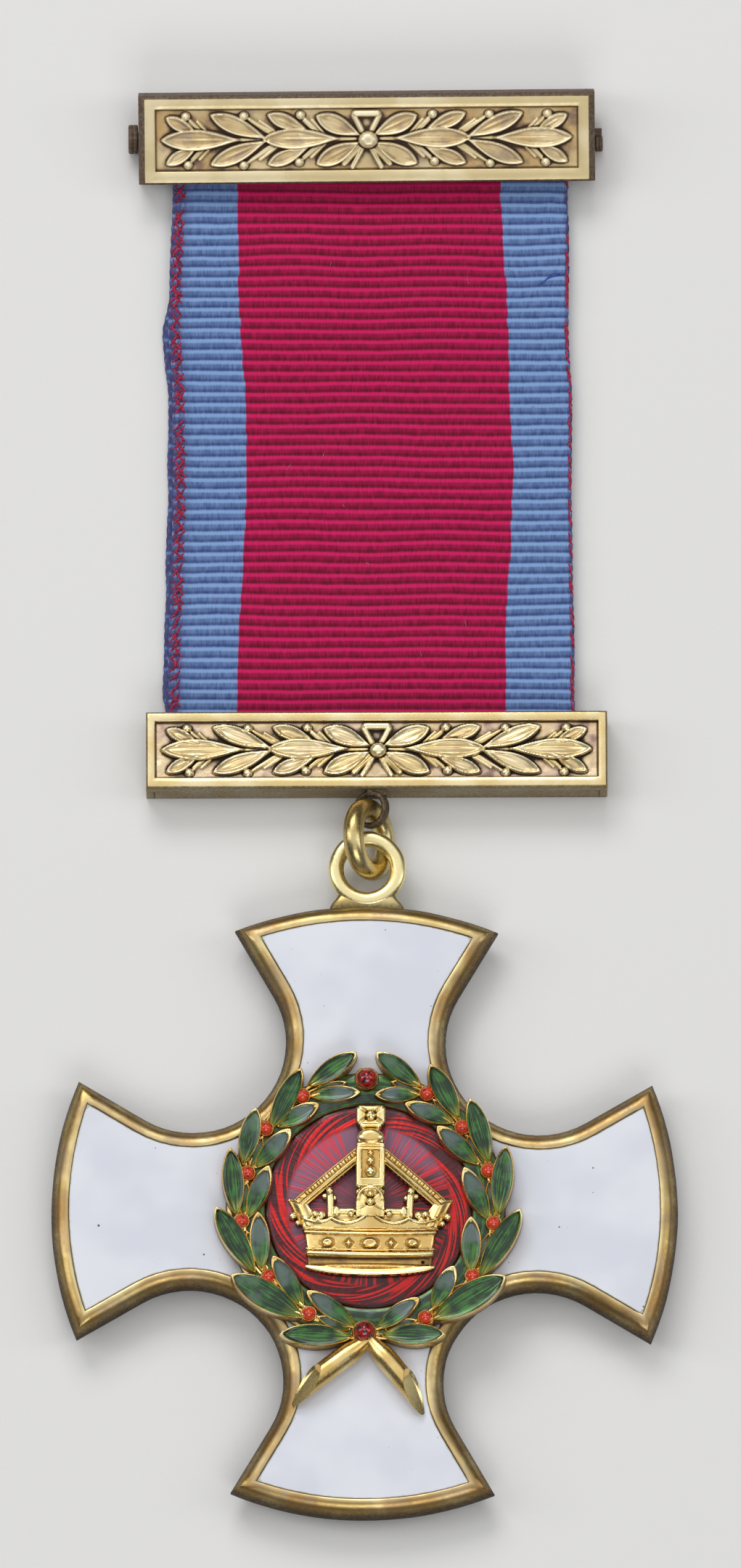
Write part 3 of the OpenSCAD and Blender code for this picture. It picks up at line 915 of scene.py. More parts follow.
# Gildings: rubbed and painted highlight, body, patina and painted shade, soil and painted shade; then
# roughness and how metallic
PALE_GILDING = Gilding(
    "pale_gilding", (244, 230, 192), (218, 198, 150), (76, 54, 46), (196, 164, 112), 0.36, 0.5,
)
WARM_GILDING = Gilding(
    "warm_gilding", (252, 238, 196), (226, 200, 142), (50, 34, 24), (214, 188, 164), 0.3, 0.85,
)
RIM_GILDING = Gilding(
    "rim_gilding", (242, 226, 170), (186, 162, 102), (50, 36, 14), (150, 100, 60), 0.29,
)
RICH_GILDING = Gilding(
    "rich_gilding", (253, 236, 176), (222, 186, 114), (82, 54, 24), (150, 112, 52), 0.27,
)
STITCH = Thread("crimson_stitch", (186, 22, 76), (96, 4, 34))
STRAY = Thread("bright_blue_thread", (58, 84, 196), (30, 44, 130))
LINT = Thread("pale_lint", (196, 130, 150), (150, 84, 104))


# Leaves of the bars' spray, as shares of half the panel's width and height: tip and base. Then
# their width, and how much they stand over the lowest
SPRAY = (
    ((0.235, 0.74), (0.03, 0.12), 1.18, 0.03), ((0.235, -0.8), (0.03, -0.1), 1.18, 0.03),
    ((0.465, 0.8), (0.28, 0.28), 0.92, 0), ((0.465, -0.8), (0.28, -0.28), 0.92, 0),
    ((0.49, 0.02), (0.13, 0.02), 1.3, 0.07), ((0.735, 0.8), (0.475, 0.04), 1.1, 0.03),
    ((0.735, -0.8), (0.475, -0.04), 1.1, 0.03), ((0.945, 0.72), (0.8, 0.2), 0.8, 0),
    ((0.945, -0.78), (0.8, -0.2), 0.8, 0), ((0.968, 0), (0.6, 0), 1.34, 0.06),
)
# Berries on their stems: berry and foot of the stem
SPRAY_BERRIES = (
    ((0.855, 0.76), (0.755, 0.10)), ((0.845, -0.80), (0.745, -0.12)), ((0.580, 0.76), (0.425, 0.12)),
    ((0.582, -0.82), (0.425, -0.14)), ((0.312, 0.78), (0.215, 0.14)), ((0.320, -0.74), (0.215, -0.14)),
)


@dataclass
class Bar:
    """Cast bar, open at the back, with a leaf spray in its sunk panel.

    Its borders and bevels are those at the sides, at the top and at the bottom.
    """

    node: str
    slot: Slot
    gilding: Gilding
    place: Place
    width: float
    height: float
    wall_y: float
    borders: Point
    bevels: Point
    seed: int
    flank_shade: float
    leaf_soil: float
    knob: Spot = (0.64, 0.56)
    depth: float = 3.2
    plate: float = 1.0
    wall: float = 0.6
    rod: float = 0.35
    rod_z: float = 1.1
    sink: float = 0.35
    leaf_powers: Spot = (1.3, 0.86)

    def half_panel(self) -> Spot:
        """Half the width and height of the sunk panel."""
        side, top, bottom = self.borders
        return self.width / 2 - side, (self.height - top - bottom) / 2

    def ring(self, inset: Array | float, level: Array | float, row: int) -> Array:
        """Points round the bar.

        Args:
            inset: Distance in, for all or for sides, top and bottom.
            level: Height, for all or for sides, top and bottom.
            row: Number of the ring.

        Returns:
            The points, anticlockwise.
        """
        side, top, bottom = np.broadcast_to(inset, 3)
        side_z, top_z, bottom_z = levels = np.broadcast_to(level, 3)
        x, low, high = self.width / 2 - side, bottom, self.height - top
        corners = np.array([(-x, low), (x, low), (x, high), (-x, high)])
        sides = []
        for a, b, steps, z in zip(
            corners, np.roll(corners, -1, 0), (60, 12, 60, 12), (bottom_z, side_z, top_z, side_z)
        ):
            share = np.arange(steps)[:, None] / steps
            sides.append(np.hstack([a + share * (b - a), np.where(share > 0, z, levels.min())]))
        points = np.concatenate(sides)
        points[:, 2] += 0.012 * grain(points[:, 0], points[:, 1] + row * 0.37, 1.7, self.seed)
        return points

    def add_plate(self, shape: Shape) -> None:
        """Adds the plate: flanks, bevels, polished border and step down to the panel."""
        borders, bevels = np.array(self.borders), np.array(self.bevels)
        face, under = self.depth, self.depth - self.plate
        rings = (
            (0.05, under), (0, under + 0.05), (0, face - bevels - 0.02),
            (0.015, face - bevels + 0.01), (bevels - 0.015, face - 0.01), (bevels + 0.03, face),
            ((bevels + borders) / 2, face), (borders - 0.05, face), (borders - 0.01, face - 0.03),
            (borders, face - 0.08), (borders + 0.01, face - self.sink - 0.12),
        )
        loops = np.array([self.ring(*ring, row) for row, ring in enumerate(rings)])
        hollow = np.zeros(loops.shape[:2])
        # Painted shade on the step down to the panel, and on the flanks and bevels
        hollow[-1] = 1.0
        hollow[:5] = self.flank_shade
        shape.loft(self.place.at(loops), marks={"hollow": hollow})

    def add_box(self, shape: Shape, low: Point, high: Point, painted_shade: float = 0.0) -> None:
        """Adds a block with softened edges.

        Args:
            shape: The bar.
            low: Its lowest corner.
            high: Its highest corner.
            painted_shade: How much painted shade it takes, if not as much as the flanks.
        """
        soft, rings = 0.06, []
        for inset, z in ((soft, low[2]), (0, low[2] + soft), (0, high[2] - soft), (soft, high[2])):
            (x0, y0), (x1, y1) = np.array(low[:2]) + inset, np.array(high[:2]) - inset
            rings.append([(x0, y0, z), (x1, y0, z), (x1, y1, z), (x0, y1, z)])
        shape.loft(self.place.at(rings), marks={"hollow": painted_shade or self.flank_shade})

    def carve(self, x: Array, y: Array) -> tuple[Array, Array, Marks]:
        """Panel with its leaf spray.

        Args:
            x: Places across.
            y: Places up, both from the panel's middle.

        Returns:
            Distance in from its edge, height, and where it is soiled.
        """
        half_w, half_h = self.half_panel()
        edge = block(x, y, (0, 0), (half_w, half_h))
        ground = self.depth - self.sink
        low, floor = ground - 0.05, ground + 0.03 * grain(x, y, 0.55, self.seed + 1)
        floor = floor + 0.006 * grain(x, y, 0.12, self.seed + 2)
        c = Carving(x, y, floor - 0.09 * smooth(1 - edge / 0.14))
        dull = np.zeros_like(x)
        for side in Side:
            s = side.value

            def at(spot: Spot) -> Spot:
                """Place of shares of half the panel on this side."""
                return s * spot[0] * half_w, spot[1] * half_h

            c.ridge((0, 0.02), (s * 0.9 * half_w, 0), 0.12, ground + 0.2, low)
            for tip, (rx, ry) in ((at(berry), at(foot)) for berry, foot in SPRAY_BERRIES):
                c.ridge((rx + 0.02, ry), tip, 0.1, ground + 0.17, low)
                for off in (-0.24, 0.28):
                    reach = 0.86 * (1 - 0.96 * abs(off))
                    end = rx + (tip[0] - rx) * reach + off, ry + (tip[1] - ry) * 0.74
                    c.ridge((rx + off, ry), end, 0.1, ground + 0.17, low)
            for number, (tip, base, width, level) in enumerate(SPRAY):
                leaf = Leaf(at(base), at(tip), width, *self.leaf_powers)
                inside = self.add_leaf(c, leaf, level, self.seed + 10 * number + s)
                dull = np.where(inside > 0, self.leaf_soil * smooth(inside / 0.12 - 0.5), dull)
            for tip in (at(berry) for berry, _ in SPRAY_BERRIES):
                c.sink(disc(x, y, tip, 0.4), 0.04, 0.08)
                c.lift(disc(x, y, tip, 0.29), ground + 0.1, low, 0.06)
                c.bead(tip, 0.31, ground + 0.07)
            # Grooved stalks that spread below the knob
            for ax, ay, bx, by, r in (
                (0.3, -0.35, 1.56, 0.8, 0.17), (0.15, -0.35, 0.98, 0.9, 0.15),
                (0.45, -0.25, 2.0, 0.66, 0.12),
            ):
                start, end = (s * ax, ay), (s * bx, -half_h * by)
                c.ridge(start, end, r, ground + 0.28, low)
                c.sink(stick(x, y, start, end, 0.02), 0.1, 0.09)
            c.ridge((s * 0.22, 0.3), (s * 0.84, half_h * 0.74), 0.18, ground + 0.32, low)
        top = half_h * 0.82
        c.ridge((-0.76, top), (0.76, top), 0.21, ground + 0.4, low)
        c.sink(stick(x, y, (-0.66, top - 0.04), (0.66, top - 0.04), 0.01), 0.06, 0.09)
        knot = oval(x, y, (0.1, -0.06), self.knob, self.knob[1])
        c.sink(knot + 0.1, 0.1, 0.08)
        c.cushion(knot, ground + 0.7, 0.4, ground + 0.1, 0.08)
        return edge, c.height, {"soil": np.maximum(smooth((ground + 0.14 - c.height) / 0.12), dull)}

    def add_leaf(self, c: Carving, leaf: Leaf, level: float, seed: int) -> Array:
        """Raises a leaf with a rim round two dished and veined halves.

        Args:
            c: Carving that it belongs to.
            leaf: Its outline.
            level: How much it stands over the lowest.
            seed: Seed of its unevenness.

        Returns:
            Distance in from its outline.
        """
        ground = self.depth - self.sink
        along, left, inside = leaf.local(c.x, c.y)
        u = np.clip(along, 0, 1)
        crown = 0.24 + 0.08 * np.sin(np.pi * u) + level
        rim = 0.07 * np.exp(-((np.maximum(inside - 0.05, 0) / 0.1) ** 2))
        rib = 0.05 * np.exp(-((left / 0.07) ** 2)) * smooth((0.8 - u) / 0.2)
        folds = 0.02 * np.cos(left * 17 + seed) * smooth(inside / 0.3)
        folds = folds + 0.012 * grain(u * 2, left, 0.4, seed)
        dish = 0.1 * smooth(inside / 0.3)
        c.height = c.height - 0.05 * smooth(inside / 0.1 + 2) * (1 - smooth(inside / 0.1 + 1))
        c.lift(inside, ground + crown + rim + rib - dish + folds, ground - 0.05, 0.1)
        return inside

    def build(self) -> None:
        """Makes the bar."""
        shape = Shape()
        self.add_plate(shape)
        self.extend(shape)
        x, y = np.array(self.half_panel()) + 0.06
        floor = self.depth - self.sink - 0.3
        middle = (self.height - self.borders[1] + self.borders[2]) / 2
        panel = self.place.within(0, middle, 0)
        Relief(self.carve, (-x, -y), (x, y), floor, 0.5, 0.2).add_to(shape, panel)
        shape.make(f"{self.node}_cast", self.node, self.slot, self.gilding.material())

    def extend(self, shape: Shape) -> None:
        """Adds the end walls, the long wall and the ribbon's rod."""
        half, top, inset = self.width / 2, self.depth - self.plate + 0.1, 0.012
        high = self.height - inset
        self.add_box(shape, (inset - half, inset, 0), (self.wall - half, high, top))
        self.add_box(shape, (half - self.wall, inset, 0), (half - inset, high, top))
        long = half - self.wall + 0.1
        high = self.wall_y + self.wall - inset
        self.add_box(shape, (-long, self.wall_y + inset, 0), (long, high, top))
        path = [(x, self.height / 2, self.rod_z) for x in np.linspace(-half + 0.3, half - 0.3, 12)]
        shape.tube(self.place.at(path), self.rod, 20)


@dataclass
class BroochBar(Bar):
    """Top bar, with the hinge, wire and catch of its brooch pin behind it."""

    def pin(self) -> None:
        """Makes the brooch pin."""
        shape = Shape()
        half, count = self.width / 2, 40
        path = [(x, 2.95, -0.46) for x in np.linspace(-half - 0.5, half + 0.5, count)]
        wire = np.full(count, 0.4)
        wire[[0, -1]] -= 0.02
        shape.tube(self.place.at(path), wire, 20)
        for x, y, z, radius, h in (
            (-half - 0.37, 2.9, 0.09, 1.0, 0.33), (half + 0.3, 2.3, -0.12, 0.55, 0.26),
        ):
            soft = 0.08
            shape.lathe([
                (0, -h), (radius - soft, -h), (radius, -h + soft), (radius, -0.04),
                (radius - 0.04, 0), (radius, 0.04), (radius, h - soft), (radius - soft, h),
                (radius * 0.35, h), (radius * 0.3, h - 0.05), (0, h - 0.05),
            ], self.place.within(x, y, z, turned("y", 90)), 40)
        # Painted shade over the whole pin fitting
        shape.marks.append((0, shape.count, {"hollow": self.flank_shade}))
        shape.make("brooch_pin_fitting", "brooch_pin", self.slot, self.gilding.material())


@dataclass
class LuggedBar(Bar):
    """Lower bar, with a neck and a lug below it for the ring."""

    lug_at: Point = (0.45, -0.7406, 2.4)
    lug_turn: float = -30
    lug_out: float = 1.3
    lug_in: float = 0.95
    lug_thick: float = 0.7
    neck: float = 1.35
    lug_shade: float = 0.52

    def extend(self, shape: Shape) -> None:
        """Adds the walls and rod of any bar, then the neck and the lug."""
        super().extend(shape)
        foot = float((self.place.turn.T @ (0, self.lug_at[1] - self.place.offset[1], 0))[1])
        x = self.neck / 2
        # Neck and lug take painted shade
        self.add_box(shape, (-x, foot + 0.9, 1.6), (x, 0.3, 2.8), self.lug_shade)
        half, soft = self.lug_thick / 2, 0.12
        face = half - soft
        shape.lathe([
            (self.lug_in, -face), (self.lug_in + soft, -half), (self.lug_out - soft, -half),
            (self.lug_out, -face), (self.lug_out, face), (self.lug_out - soft, half),
            (self.lug_in + soft, half), (self.lug_in, face),
        ], Place(self.lug_at, turned("y", self.lug_turn)), 48, True, {"hollow": self.lug_shade})


@dataclass
class Ribbon:
    """Corded silk ribbon, folded double round the rods of the two bars."""

    centre: float = 0.48
    width: float = 27.6
    cloth: float = 0.45
    half_gap: float = 0.35
    rod_gap: float = 0.775
    pitch: float = 0.745
    rows_a_rib: int = 8
    rib_depth: float = 0.12
    low_rod: Spot = (3.2744, 1.1)
    top_rod: Spot = (46.609, 2.0154)
    flat_z: float = 0.635
    slope: float = 0.33654
    bend_y: float = 43.507
    bend: float = 2.0
    # Where the blue stripes begin and the cloth ends, by the place up the badge
    border_y: Row = (6.95, 12.4, 17.9, 23.4, 28.9, 34.4, 42.6)
    left_border: Row = (-8.69, -8.59, -8.24, -8.0, -8.19, -8.59, -8.74)
    right_border: Row = (9.63, 9.63, 9.97, 10.12, 9.92, 9.78, 9.33)
    edge_y: Row = (3, 6.8, 20.8, 28.9, 32.9, 43, 47)
    left_edge: Row = (-13.44, -13.44, -13.09, -13.09, -13.44, -13.09, -13.09)
    right_edge: Row = (14.33, 14.33, 14.13, 14.13, 13.93, 13.93, 13.93)
    # Distance in of the columns near an edge, and number of those between
    edge_in: Row = (0, 0.05, 0.16, 0.34, 0.62, 1.0, 1.5, 2.1)
    columns: int = 18
    seed: int = 41

    def __post_init__(self) -> None:
        """Measures the cloth's closed way and shares it out among ribs and rows."""
        self.points, self.normals = self.way()
        steps = np.hypot(*np.diff(self.points, axis=0, append=self.points[:1]).T)
        self.reach = np.concatenate([[0], np.cumsum(steps)])
        self.length = float(steps.sum())
        self.ribs = round(self.length / self.pitch)
        self.rows = self.ribs * self.rows_a_rib
        self.run = np.arange(self.rows) * self.length / self.rows
        self.y_way = self.along(self.points[:, 0], self.run)
        self.front = smooth(self.along(self.normals[:, 1], self.run) * 0.5 + 0.5)

    def middle(self, y: Array) -> Array:
        """Height of the doubled ribbon's middle at y."""
        flat = self.flat_z + (self.low_rod[1] - self.flat_z) * smooth((self.low_rod[0] + 6 - y) / 5)
        bent = self.flat_z + self.slope / (2 * self.bend) * (y - self.bend_y + self.bend) ** 2
        slope = self.top_rod[1] + (y - self.top_rod[0]) * self.slope
        return np.where(y > self.bend_y, slope, np.where(y > self.bend_y - self.bend, bent, flat))

    def way(self) -> tuple[Array, Array]:
        """Closed way of the cloth, up the front and down the back.

        Returns:
            Places as y and z, and directions out of the loop.
        """
        y = np.linspace(self.low_rod[0], self.top_rod[0], 900)
        z = self.middle(y)
        out = np.column_stack([-np.gradient(z, y), np.ones_like(y)])
        out /= np.linalg.norm(out, axis=1)[:, None]
        near = np.minimum(y - y[0], y[-1] - y)
        away = self.half_gap + (self.rod_gap - self.half_gap) * smooth(1 - near / 1.7)
        line, away = np.column_stack([y, z]), out * away[:, None]
        turn = np.linspace(0, pi, 60)[1:-1]
        over, under = (rays(atan2(first[1], first[0]) - turn) for first in (out[-1], -out[0]))
        points = (line + away, np.array(self.top_rod) + over * self.rod_gap,
                  (line - away)[::-1], np.array(self.low_rod) + under * self.rod_gap)
        return np.concatenate(points), np.concatenate([out, over, -out[::-1], under])

    def along(self, values: Array, at: Array) -> Array:
        """Values at distances along the closed way."""
        return np.interp(at % self.length, self.reach, np.append(values, values[0]))

    def sheet(self, at: Array, offset: Array) -> Array:
        """Places as y and z, from distances along the cloth and out of its middle."""
        return np.stack([
            self.along(self.points[:, k], at) + self.along(self.normals[:, k], at) * offset
            for k in (0, 1)
        ], -1)

    def build(self, *materials: Material) -> None:
        """Makes the ribbon of silk, stitches, the stray thread and lint."""
        run, front, y_way = self.run, self.front, self.y_way
        edge_in = np.array(self.edge_in)
        ends = np.linspace(edge_in[-1], self.width - edge_in[-1], self.columns + 2)
        spots = np.concatenate([edge_in, ends[1:-1], self.width - edge_in[::-1]])
        phase = run / self.length * self.ribs
        cord = np.abs(np.cos(np.pi * phase))
        crest = cord ** 0.75

        # Edges, the back's a little further out, with the ribs' ends showing
        wave = 0.05 * (cord - 0.6) + 0.05 * grain(run, run * 0, 2.3, self.seed)
        behind = 0.35 * smooth((y_way - 6) / 2) * smooth((36 - y_way) / 3)
        left = np.interp(y_way, self.edge_y, self.left_edge) - (1 - front) * behind - wave
        right = np.interp(y_way, self.edge_y, self.right_edge) - (1 - front) * 0.15 + wave
        x = left[:, None] + (right - left)[:, None] * (spots / self.width)
        way = np.broadcast_to(run[:, None], x.shape)
        at = way + (0.09 * grain(x, way, 5.0, self.seed + 1) + 0.03 * grain(x, way, 0.9, self.seed + 2))
        rounding = 0.16 * np.exp(-np.minimum(spots, self.width - spots) / 0.12)
        swell = 1 + 0.25 * grain(x, way, 1.6, self.seed + 3)
        drop = self.rib_depth * np.clip((1 - crest)[:, None] * swell, 0, 1.1)
        outer = np.dstack([x, self.sheet(at, self.cloth / 2 - drop - rounding)])
        inner = np.dstack([x, self.sheet(at, np.full_like(x, -self.cloth / 2) + rounding)])

        jitter = 0.16 * grain(np.round(phase), np.round(phase) * 0, 1.0, self.seed + 4)
        jitter = jitter + 0.1 * grain(run, run * 0, 4.0, self.seed + 5)
        border_l = np.interp(y_way, self.border_y, self.left_border)[:, None]
        border_r = np.interp(y_way, self.border_y, self.right_border)[:, None]
        marks = {
            "stripe": np.maximum(border_l - x, x - border_r) + 0.35 * jitter[:, None],
            "across": x - self.centre,
            "run": way,
            "crest": crest[:, None],
            "lit": 0.5 + 0.5 * np.cos(2 * np.pi * (phase - 0.16))[:, None],
            "selvedge": np.maximum(
                smooth((1.15 - spots) / 0.4), smooth((self.width - 0.35 - spots) / -0.2)
            ),
        }
        marks = {key: np.broadcast_to(value, x.shape) for key, value in marks.items()}
        marks = {key: np.hstack([value, value[:, ::-1]]) for key, value in marks.items()}
        # The inner face takes a fixed painted shade
        marks["crest"][:, len(spots) :] = 0.4
        loop = np.hstack([outer, inner[:, ::-1]])
        shape = Shape()
        shape.add(loop, grid_faces(*loop.shape[:2], True, True), marks)
        self.add_stitches(shape, outer)
        self.add_threads(shape)
        piece = shape.make("ribbon_silk", "ribbon", Slot.RIBBON, *materials, sharp_deg=80)

    def add_stitches(self, shape: Shape, outer: Array) -> None:
        """Adds the crimson threads that cross the selvedges.

        Args:
            shape: The ribbon.
            outer: Places of the outer face, row by column.
        """
        rng = np.random.default_rng(self.seed)
        shape.finish = 1
        # Edge (0 left, -1 right), distance in of a stitch's two ends, share of ribs with one
        lanes = ((0, 0.1, 0.82, 0.95), (0, 0.86, 0.16, 0.8), (-1, 0.02, 0.24, 0.85))
        for first in range(0, self.rows, self.rows_a_rib):
            if not 4.6 < self.y_way[first] < 45.5:
                continue
            for number, (edge, start, end, chance) in enumerate(lanes):
                if rng.random() > chance:
                    continue
                shift, jump = int(rng.integers(-2, 3)), int(rng.integers(8, 13))
                path = []
                for share, bow in ((0, 0.0), (0.3, 0.05), (0.65, 0.05), (1, 0.0)):
                    row = (first + 4 * number + shift + int(share * jump)) % self.rows
                    depth = max(start + (end - start) * share + rng.uniform(-0.05, 0.05), 0.01)
                    away = np.abs(outer[row, :, 0] - outer[row, edge, 0])
                    order = np.argsort(away)
                    x, y, z = (np.interp(depth, away[order], line) for line in outer[row, order].T)
                    path.append((x, y, max(z + (bow if self.front[row] > 0.5 else -bow), 0.1)))
                shape.tube(np.array(path), (0.05, 0.09, 0.09, 0.04), 7)

    def add_threads(self, shape: Shape) -> None:
        """Adds a stray blue thread near the right edge and lint."""
        rng = np.random.default_rng(self.seed + 9)

        def lay(a: Spot, b: Spot, bow: float, radius: float) -> None:
            """Lays a bowed thread on the face from a to b."""
            t = np.linspace(0, 1, 9)
            x = a[0] + (b[0] - a[0]) * t
            y = a[1] + (b[1] - a[1]) * t + bow * np.sin(np.pi * t)
            z = self.middle(y) + self.cloth / 2 + self.half_gap + radius * 0.6
            thin = radius * np.clip(1.2 - np.abs(2 * t - 1), 0.3, 1)
            shape.tube(np.column_stack([x, y, z]), thin, 6)

        shape.finish = 2
        lay((11.9, 36.3), (13.85, 37.1), 0.28, 0.055)
        lay((11.9, 36.35), (12.6, 36.95), -0.1, 0.045)
        shape.finish = 3
        for _ in range(14):
            x, y = rng.uniform(-11, 12), rng.uniform(8, 42)
            angle, size = rng.uniform(0, pi), rng.uniform(0.25, 0.7)
            end = (x + size * cos(angle), y + size * sin(angle))
            lay((x, y), end, rng.uniform(-0.1, 0.1), 0.018)


@dataclass
class JumpRing:
    """Round ring that joins the lug and the cross's eye."""

    at: Point = (0.3, -2.8806, 2.6)
    radius: float = 2.15
    wire: float = 0.7
    lean: float = 60

    def build(self, gold: Material) -> None:
        """Makes the ring, worn thinner where it bears on the lug and the eye."""
        shape, path = Shape(), circle(120)
        place = Place(self.at, turned("y", self.lean))
        wear = 0.03 * np.abs(path[:, 1]) ** 8
        shape.tube(place.at(path * self.radius), self.wire - wear, 28, closed=True)
        shape.make("jump_ring_wire", "jump_ring", Slot.CROSS, gold)


@dataclass
class CrossOutline:
    """Outline of the cross, drawn in by any distance: four arc-ended arms and their pockets."""

    end_r: float = 23.5
    end_shift: float = 2.22
    pocket_at: float = 11.78
    pocket_r: float = 6.35
    flare: float = 30.5

    def pocket(self, inset: float, start: float, steps: int) -> Array:
        """Arc of a pocket from a direction, in radians, to where the arm's straight side starts."""
        angle = np.linspace(start, radians(self.flare - 90), steps)
        return rays(angle) * (self.pocket_r + inset) + self.pocket_at

    def side(self, inset: float) -> tuple[Array, Spot]:
        """Upper side of the right-hand arm, from the middle of its pocket to its tip.

        Args:
            inset: Distance in from the outline.

        Returns:
            Places along the pocket's arc and its tangent, and the tip.
        """
        arc = self.pocket(inset, radians(-135), 13)
        ahead = rays(radians(self.flare))
        from_middle = arc[-1] + np.array([self.end_shift, 0])
        along = float(from_middle @ ahead)
        off = float(from_middle @ from_middle) - (self.end_r - inset) ** 2
        reach = -along + sqrt(along**2 - off)
        line = arc[-1] + np.linspace(0, reach, 7)[1:, None] * ahead
        return np.concatenate([arc, line]), tuple(line[-1])

    def end(self, inset: float, tip: Spot, steps: int) -> Array:
        """Arc that ends the right-hand arm, from its lower tip to its upper one."""
        top = atan2(tip[1], tip[0] + self.end_shift)
        arc = rays(np.linspace(-top, top, steps)) * (self.end_r - inset)
        return arc - np.array([self.end_shift, 0])

    def loop(self, inset: float) -> Array:
        """Whole outline as points, anticlockwise, the same number at any inset."""
        side, tip = self.side(inset)
        arc = self.end(inset, tip, 23)
        arm = np.concatenate([side[:-1] * np.array([1, -1]), arc[:-1], side[:0:-1]])
        return np.concatenate([arm @ turned("z", 90 * quarter)[:2, :2].T for quarter in range(4)])


@dataclass
class Cross:
    """Gilt body of the cross: rimmed arms, hub, hanging eye and back boss."""

    place: Place
    outline: CrossOutline = field(default_factory=CrossOutline)
    front_z: float = 3.4
    hub_r: float = 9.35
    boss_r: float = 8.4
    boss_rim: float = 0.9
    eye_at: float = 23.84
    eye_r: float = 2.12
    eye_wire: float = 0.55
    eye_z: float = 2.1
    seed: int = 5

    # Section through the rim: distance in from the outline, height, and painted shade, below zero for
    # rubbed wear and painted highlight
    section: tuple[Point, ...] = (
        (1.24, 2.78, 1), (1.23, 3.28, 0.5), (1.18, 3.35, 0), (1.10, 3.385, -0.5), (0.95, 3.39, -0.3),
        (0.75, 3.34, -0.05), (0.55, 3.24, 0.08), (0.38, 3.08, 0.22), (0.22, 2.86, 0.36),
        (0.10, 2.57, 0.48), (0.02, 2.2, 0.54), (0.0, 1.9, 0.6), (0.02, 1.5, 0.59), (0.10, 1.2, 0.58),
        (0.22, 1.0, 0.57), (0.45, 0.86, 0.56), (0.8, 0.8, 0.55), (1.12, 0.8, 0.55 - 0.05 / 3),
        (1.22, 0.86, 0.5 + 0.05 / 3), (1.24, 1.22, 0.5),
    )
    # Rings of the eye's foot: height over the wire's lowest middle, half width and thickness, painted
    # shade, paler below zero
    foot: tuple[tuple[float, float, float, float], ...] = (
        (-1.0, 2.56, 0.36, 0.45), (-0.5, 2.5, 0.42, 0.4), (-0.24, 2.36, 0.46, 0.25),
        (-0.05, 2.2, 0.47, 0.1), (0.12, 2.08, 0.46, 0), (0.3, 1.98, 0.44, -0.2),
        (0.42, 1.86, 0.34, -0.3),
    )

    def add_rim(self, shape: Shape) -> None:
        """Adds the arms with their rounded rim, a little worn."""
        rings, hollow = [], []
        for row, (inset, z, deep) in enumerate(self.section):
            flat = self.outline.loop(inset)
            x, y = flat.T
            level = np.full(len(flat), z)
            if 2 < row < 17:
                wear = 0.022 * grain(x, y + 0.2 * row, 1.9, self.seed) - 0.022
                flat = flat * (1 + (wear / np.hypot(x, y))[:, None])
            if 2 < row < 9:
                level -= 0.022 * np.abs(grain(x, y + 0.5 * row, 0.55, self.seed + 1))
            rings.append(np.column_stack([flat, level]))
            hollow.append(np.full(len(flat), deep))
        marks = {"hollow": hollow[::-1], "soil": 0.55}
        shape.loft(self.place.at(rings[::-1]), marks=marks)

    def add_eye(self, shape: Shape) -> None:
        """Adds the hanging eye and its flared foot."""
        angle = np.arange(72) * 2 * pi / 72
        wear = 0.02 * grain(angle * 3, 0 * angle, 1, self.seed + 3)
        c, s = circle(28)[:, :2].T
        wide = self.eye_r + (self.eye_wire - 0.01) * power(c, 0.85)
        high = self.eye_z + (self.eye_wire - 0.02) * power(s, 0.7)
        rings = [
            np.column_stack([(0, self.eye_at) + (wide + w)[:, None] * rays(t), high])
            for t, w in zip(angle, wear)
        ]
        # Painted highlight makes the eye paler all round
        shape.loft(self.place.at(rings), True, {"hollow": -0.6})
        base, rings = self.eye_at - self.eye_r, []
        for up, half, thick, _ in self.foot:
            x, z = half * power(c, 0.7), self.eye_z - thick * power(s, 0.5)
            rings.append(np.column_stack([x, 0 * x + base + up, z]))
        hollow = np.repeat([row[-1] for row in self.foot], len(c))
        shape.loft(self.place.at(rings), marks={"hollow": hollow})

    def build(self, gold: Material) -> None:
        """Makes the cross's body."""
        shape = Shape()
        self.add_rim(shape)
        self.add_eye(shape)
        soft, hub, boss, inner = 0.06, self.hub_r, self.boss_r, self.boss_r - self.boss_rim
        shape.lathe([
            (0, 2.7), (hub, 2.7), (hub, self.front_z - soft), (hub - soft, self.front_z),
            (0, self.front_z),
        ], self.place, 160)
        shape.lathe([
            (0, 0.5), (inner, 0.5), (inner, 0.05), (inner + soft, 0), (boss - 0.1, 0), (boss, 0.1),
            (boss, 0.86), (boss - 0.1, 1.1), (0, 1.1),
        ], self.place, 160)
        shape.make("cross_gilt_body", "cross_body", Slot.CROSS, gold)


